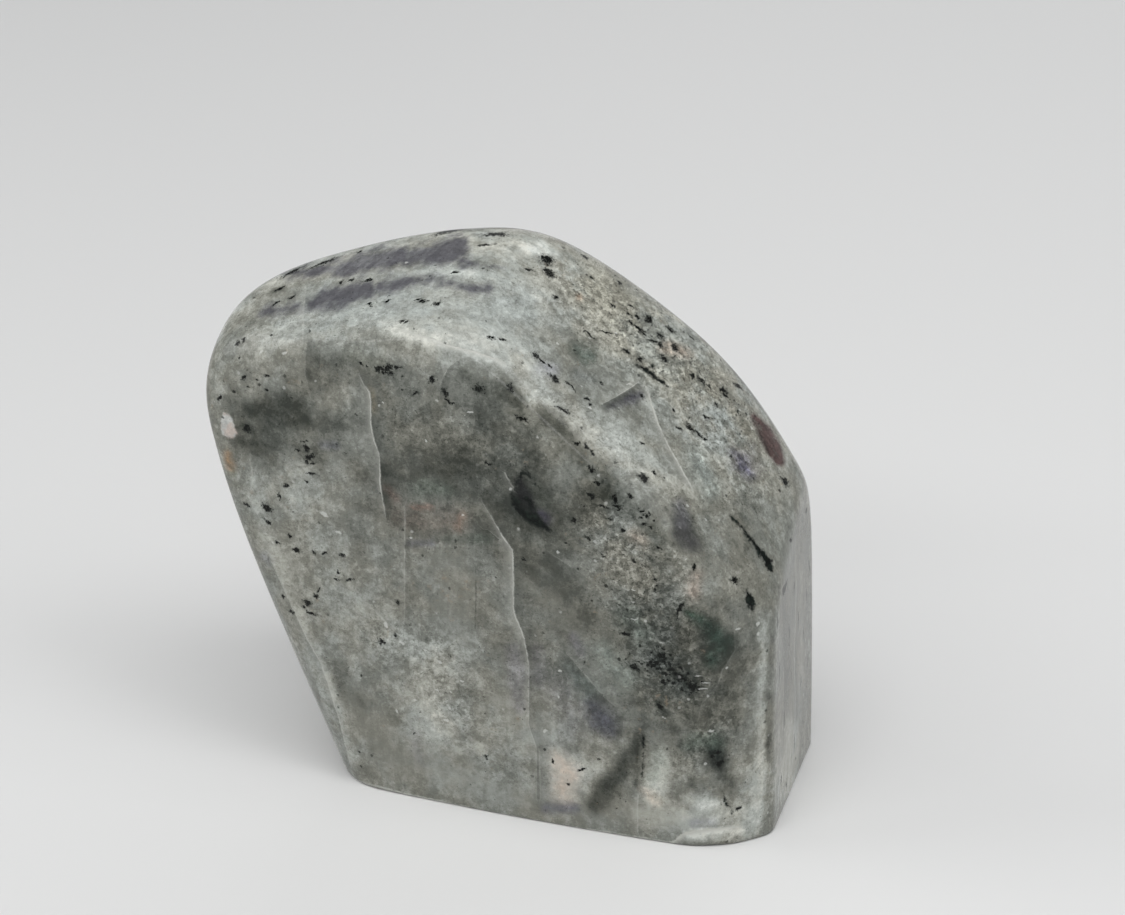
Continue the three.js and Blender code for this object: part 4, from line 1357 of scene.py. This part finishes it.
def bodyColour(fine):
    cloud = sway(bedded, labradorite["cloud"], strength["cloud"], 3.0, 0.55)
    # marks are ragged where they are strong
    shade = times(stored("shade"), addUp(1.0, sway(bedded, 1.6, 1.3, 5.0, 0.65)))
    hue = between(cloudy(bedded, 7, 4.0, 0.6), 0.38, 0.62)
    hueShare = addUp(0.25, times(stored("pepper"), 0.45))
    tint = blend(hue, labradorite["warmTint"], labradorite["coolTint"])
    tint = blend(hueShare, labradorite["plainTint"], tint)
    colour = blend(1.0, toneColour(addUp(0.5, shade, cloud, fine)), tint, "MULTIPLY")
    rusty = between(addUp(cloudy(bedded, 1.1, 4.0, 0.7), sway(placeMm, 8, 0.5)), 0.66, 0.80)
    return blend(times(rusty, strength["rusty"]), colour, labradorite["rusty"])


def addStains(colour, fine):
    cover = times(stored("stain", "Alpha"), addUp(1.0, sway(bedded, 1.1, 1.8, 5.0, 0.65)))
    stain = textured(stored("stain", "Color"), fine, 1.2)
    return blend(most(calc("MINIMUM", cover, 1.0), 0.0), colour, stain)


def addViolet(colour, fine):
    ragged = addUp(sway(bedded, 3.0, 2.6, 4.0, 0.6), sway(placeMm, 0.5, 0.5, 2.0))
    # pale threads lean across the bands
    leaning = tree.nodes.new("ShaderNodeCombineXYZ")
    feed(leaning.inputs[0], vectorCalc("DOT_PRODUCT", placeMm, (0.86, -0.5, 0.0)))
    feed(leaning.inputs[1], times(vectorCalc("DOT_PRODUCT", placeMm, (0.5, 0.86, 0.0)), 0.3))
    thread = cloudy(leaning.outputs[0], 3.6, 4.0, 0.55)
    depth = addUp(stored("violetDepth"), ragged, times(calc("SUBTRACT", thread, 0.5), -3.0))
    cover = between(depth, *edges["violet"])
    violet = blend(between(thread, 0.46, 0.72), labradorite["violet"], labradorite["violetPale"])
    return blend(times(cover, strength["violet"]), colour, textured(violet, fine, 0.6))


def addInk(colour):
    ragged = addUp(sway(placeMm, 0.9, 1.1, 3.0, 0.65), sway(placeMm, 0.3, 0.3, 1.0))
    cover = between(addUp(stored("inkDepth"), ragged), *edges["ink"])
    green = between(cloudy(placeMm, 0.9, 3.0, 0.6), 0.48, 0.68)
    return blend(cover, colour, blend(green, labradorite["ink"], labradorite["inkGreen"])), cover


def addChips(colour, fine):
    ragged = addUp(sway(placeMm, 0.9, 0.35, 3.0, 0.65), sway(placeMm, 0.3, 0.2, 1.0))
    cover = between(addUp(stored("chipDepth"), ragged), *edges["chip"])
    chip = blend(between(cloudy(placeMm, 1.2, 2.0), 0.4, 0.6), labradorite["chip"], labradorite["chipWarm"])
    return blend(times(cover, strength["chip"]), colour, textured(chip, fine, 0.5))


# small dark grains strewn through the stone, where pepper is high
def addPepper(colour):
    pepper = stored("pepper")
    gathered = addUp(pepper, sway(placeMm, 4.0, 1.6, 2.0))
    fine = between(addUp(cloudy(fineBedded, 0.5, 3.0, 0.75), times(gathered, 0.10)), 0.675, 0.735)
    coarse = between(addUp(cloudy(fineBedded, 1.3, 5.0, 0.8), times(gathered, 0.08)), 0.70, 0.735)
    # tiny grains, one in some of the cells
    far, kind, bulk = cells(vectorCalc("ADD", placeMm, swayVector(0.4, 0.5)), 0.9)
    grains = times(calc("LESS_THAN", kind, times(gathered, 0.22)), between(far, 0.30, 0.18))
    grains = times(grains, addUp(times(bulk, 0.5), 0.5))
    cover = most(
        times(fine, strength["fineGrains"]),
        times(coarse, strength["coarseGrains"]),
        times(grains, strength["tinyGrains"]),
    )
    return blend(cover, colour, labradorite["speck"]), cover


# dark grains with ragged edges and crumbs beside them, each in a greenish haze
def addSpecks(colour):
    span = addUp(markSpan("speck", 0.9, 1.1), sway(placeMm, 0.4, 3.2, 4.0, 0.8))
    haze = times(between(span, *edges["speckHaze"]), strength["speckHaze"])
    crumbs = between(cloudy(placeMm, 0.3, 2.0, 0.6), 0.56, 0.62)
    crumbs = times(crumbs, between(span, *edges["speckCrumbs"]))
    worn = addUp(times(between(cloudy(placeMm, 0.24, 2.0, 0.6), 0.34, 0.48), 0.45), 0.55)
    cover = times(most(between(span, *edges["speck"]), crumbs), worn)
    colour = blend(haze, colour, labradorite["inkGreen"])
    return blend(cover, colour, labradorite["speck"]), cover


def addSparks(colour):
    laid = between(markSpan("spark", 0.4, 0.5), *edges["spark"])
    far, kind, bulk = cells(vectorCalc("ADD", bedded, swayVector(0.5, 0.4)), 1.1)
    chosen = calc("LESS_THAN", kind, addUp(0.008, times(grit, 0.2)))
    scattered = times(chosen, between(far, 0.26, 0.12), strength["strewnSparks"])
    cover = most(times(laid, strength["laidSparks"]), times(scattered, bulk))
    return blend(cover, colour, labradorite["spark"])


# a crack shows as a thin pale line, hazy to its left, with a darker pane to its right; the painted
# highlight lines are drawn the same way
def addCracksAndHighlights(colour, name):
    aside, glow, step = storedParts(name)
    aside = addUp(aside, sway(placeMm, 1.6, 0.20, 2.0), sway(placeMm, 0.4, 0.12, 2.0))
    off = calc("ABSOLUTE", aside)
    broken = between(cloudy(placeMm, 1.3, 4.0, 0.75), 0.34, 0.62)
    line = times(between(off, *edges["crackLine"]), broken)
    left = calc("LESS_THAN", aside, 0.0)
    right = calc("GREATER_THAN", aside, 0.0)
    haze = times(between(off, *edges["crackHaze"]), left, strength["crackHaze"])
    rim = times(between(off, *edges["crackRim"]), left, strength["crackRim"])
    darker = times(between(off, *edges["crackPane"]), right, step, strength["crackPane"])
    pale = times(addUp(line, haze, rim), most(glow, 0.0))
    dark = addUp(most(darker, 0.0), times(line, most(times(glow, -1.0), 0.0)))
    colour = blend(calc("MINIMUM", pale, strength["crackMost"]), colour, labradorite["crack"])
    colour = blend(calc("MINIMUM", dark, strength["paneMost"]), colour, labradorite["black"])
    return colour, times(line, calc("ABSOLUTE", glow))


def finishStone():
    fine = fineTexture()
    colour = addStains(bodyColour(fine), fine)
    colour = addViolet(colour, fine)
    colour, groove = addCracksAndHighlights(colour, "cracks")
    colour, faintGroove = addCracksAndHighlights(colour, "faintCracksAndHighlights")
    colour, ink = addInk(colour)
    colour = addChips(colour, fine)
    colour, pepper = addPepper(colour)
    colour, speck = addSpecks(colour)
    colour = addSparks(colour)
    feed(shader.inputs["Base Color"], colour)
    pitted = most(ink, pepper, speck)
    roughness = addUp(
        polish["roughness"],
        sway(bedded, 2.0, polish["uneven"], 3.0),
        times(pitted, polish["pitRoughness"]),
        times(groove, polish["grooveRoughness"]),
        times(grit, polish["gritRoughness"]),
    )
    feed(shader.inputs["Roughness"], roughness)
    shader.inputs["IOR"].default_value = polish["ior"]
    shader.inputs["Specular IOR Level"].default_value = polish["specular"]
    uneven = addUp(sway(placeMm, 6.5, polish["waves"], 1.0), sway(bedded, 0.8, polish["ripples"], 3.0, 0.6))
    grooves = times(addUp(groove, faintGroove), polish["grooveHeight"])
    height = addUp(uneven, grooves, times(pitted, polish["pitHeight"]))
    bump = tree.nodes.new("ShaderNodeBump")
    bump.inputs["Strength"].default_value = 1.0
    bump.inputs["Distance"].default_value = mm
    feed(bump.inputs["Height"], height)
    feed(shader.inputs["Normal"], bump.outputs["Normal"])


finishStone()
stone.data.materials.append(finish)
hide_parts("stone")
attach(stone, "root")
print("stone finished,", len(tree.nodes), "nodes")


studio = {
    "floorSide": 4.0,
    "floorColour": (0.74, 0.74, 0.735, 1),
    "floorRoughness": 0.6,
    "skyColour": (0.93, 0.95, 0.97, 1),
    "skyStrength": 0.25,
    "aim": (0, 0, 0.036),
    # place, size and power of each soft light
    "softboxes": {
        "topLight": {"place": (0.15, -0.30, 0.90), "size": (0.8, 0.5), "power": 3.9},
        "leftLight": {"place": (-0.80, -0.20, 0.50), "size": (0.6, 0.5), "power": 2.4},
        "backLight": {"place": (0.25, 0.95, 0.42), "size": (1.5, 0.8), "power": 3.0},
        "rightLight": {"place": (0.62, -0.10, 0.62), "size": (0.5, 0.5), "power": 1.6},
        "frontLight": {"place": (-0.1, -0.75, 0.62), "size": (1.2, 0.12), "power": 2.5},
    },
}


def addFloor():
    mesh = bpy.data.meshes.new("floor")
    side = studio["floorSide"]
    corners = [(-side, -side, 0), (side, -side, 0), (side, side, 0), (-side, side, 0)]
    mesh.from_pydata(corners, [], [(0, 1, 2, 3)])
    floor = addObject("floor", mesh)
    paint = bpy.data.materials.new("floorPaint")
    paint.use_nodes = True
    coat = paint.node_tree.nodes["Principled BSDF"]
    coat.inputs["Base Color"].default_value = studio["floorColour"]
    coat.inputs["Roughness"].default_value = studio["floorRoughness"]
    mesh.materials.append(paint)


def addSoftbox(name, place, size, power):
    light = addObject(name, bpy.data.lights.new(name, "AREA"))
    light.data.shape = "RECTANGLE"
    light.data.size, light.data.size_y = size
    light.data.energy = power
    light.location = place
    light.rotation_mode = "QUATERNION"
    light.rotation_quaternion = (Vector(studio["aim"]) - Vector(place)).to_track_quat("-Z", "Y")


def addSky():
    world = bpy.data.worlds.new("studio")
    bpy.context.scene.world = world
    world.use_nodes = True
    background = world.node_tree.nodes["Background"]
    background.inputs["Color"].default_value = studio["skyColour"]
    background.inputs["Strength"].default_value = studio["skyStrength"]


addFloor()
addSky()
for name, light in studio["softboxes"].items():
    addSoftbox(name, light["place"], light["size"], light["power"])
bpy.context.scene.view_settings.view_transform = "Standard"
print("studio lit")
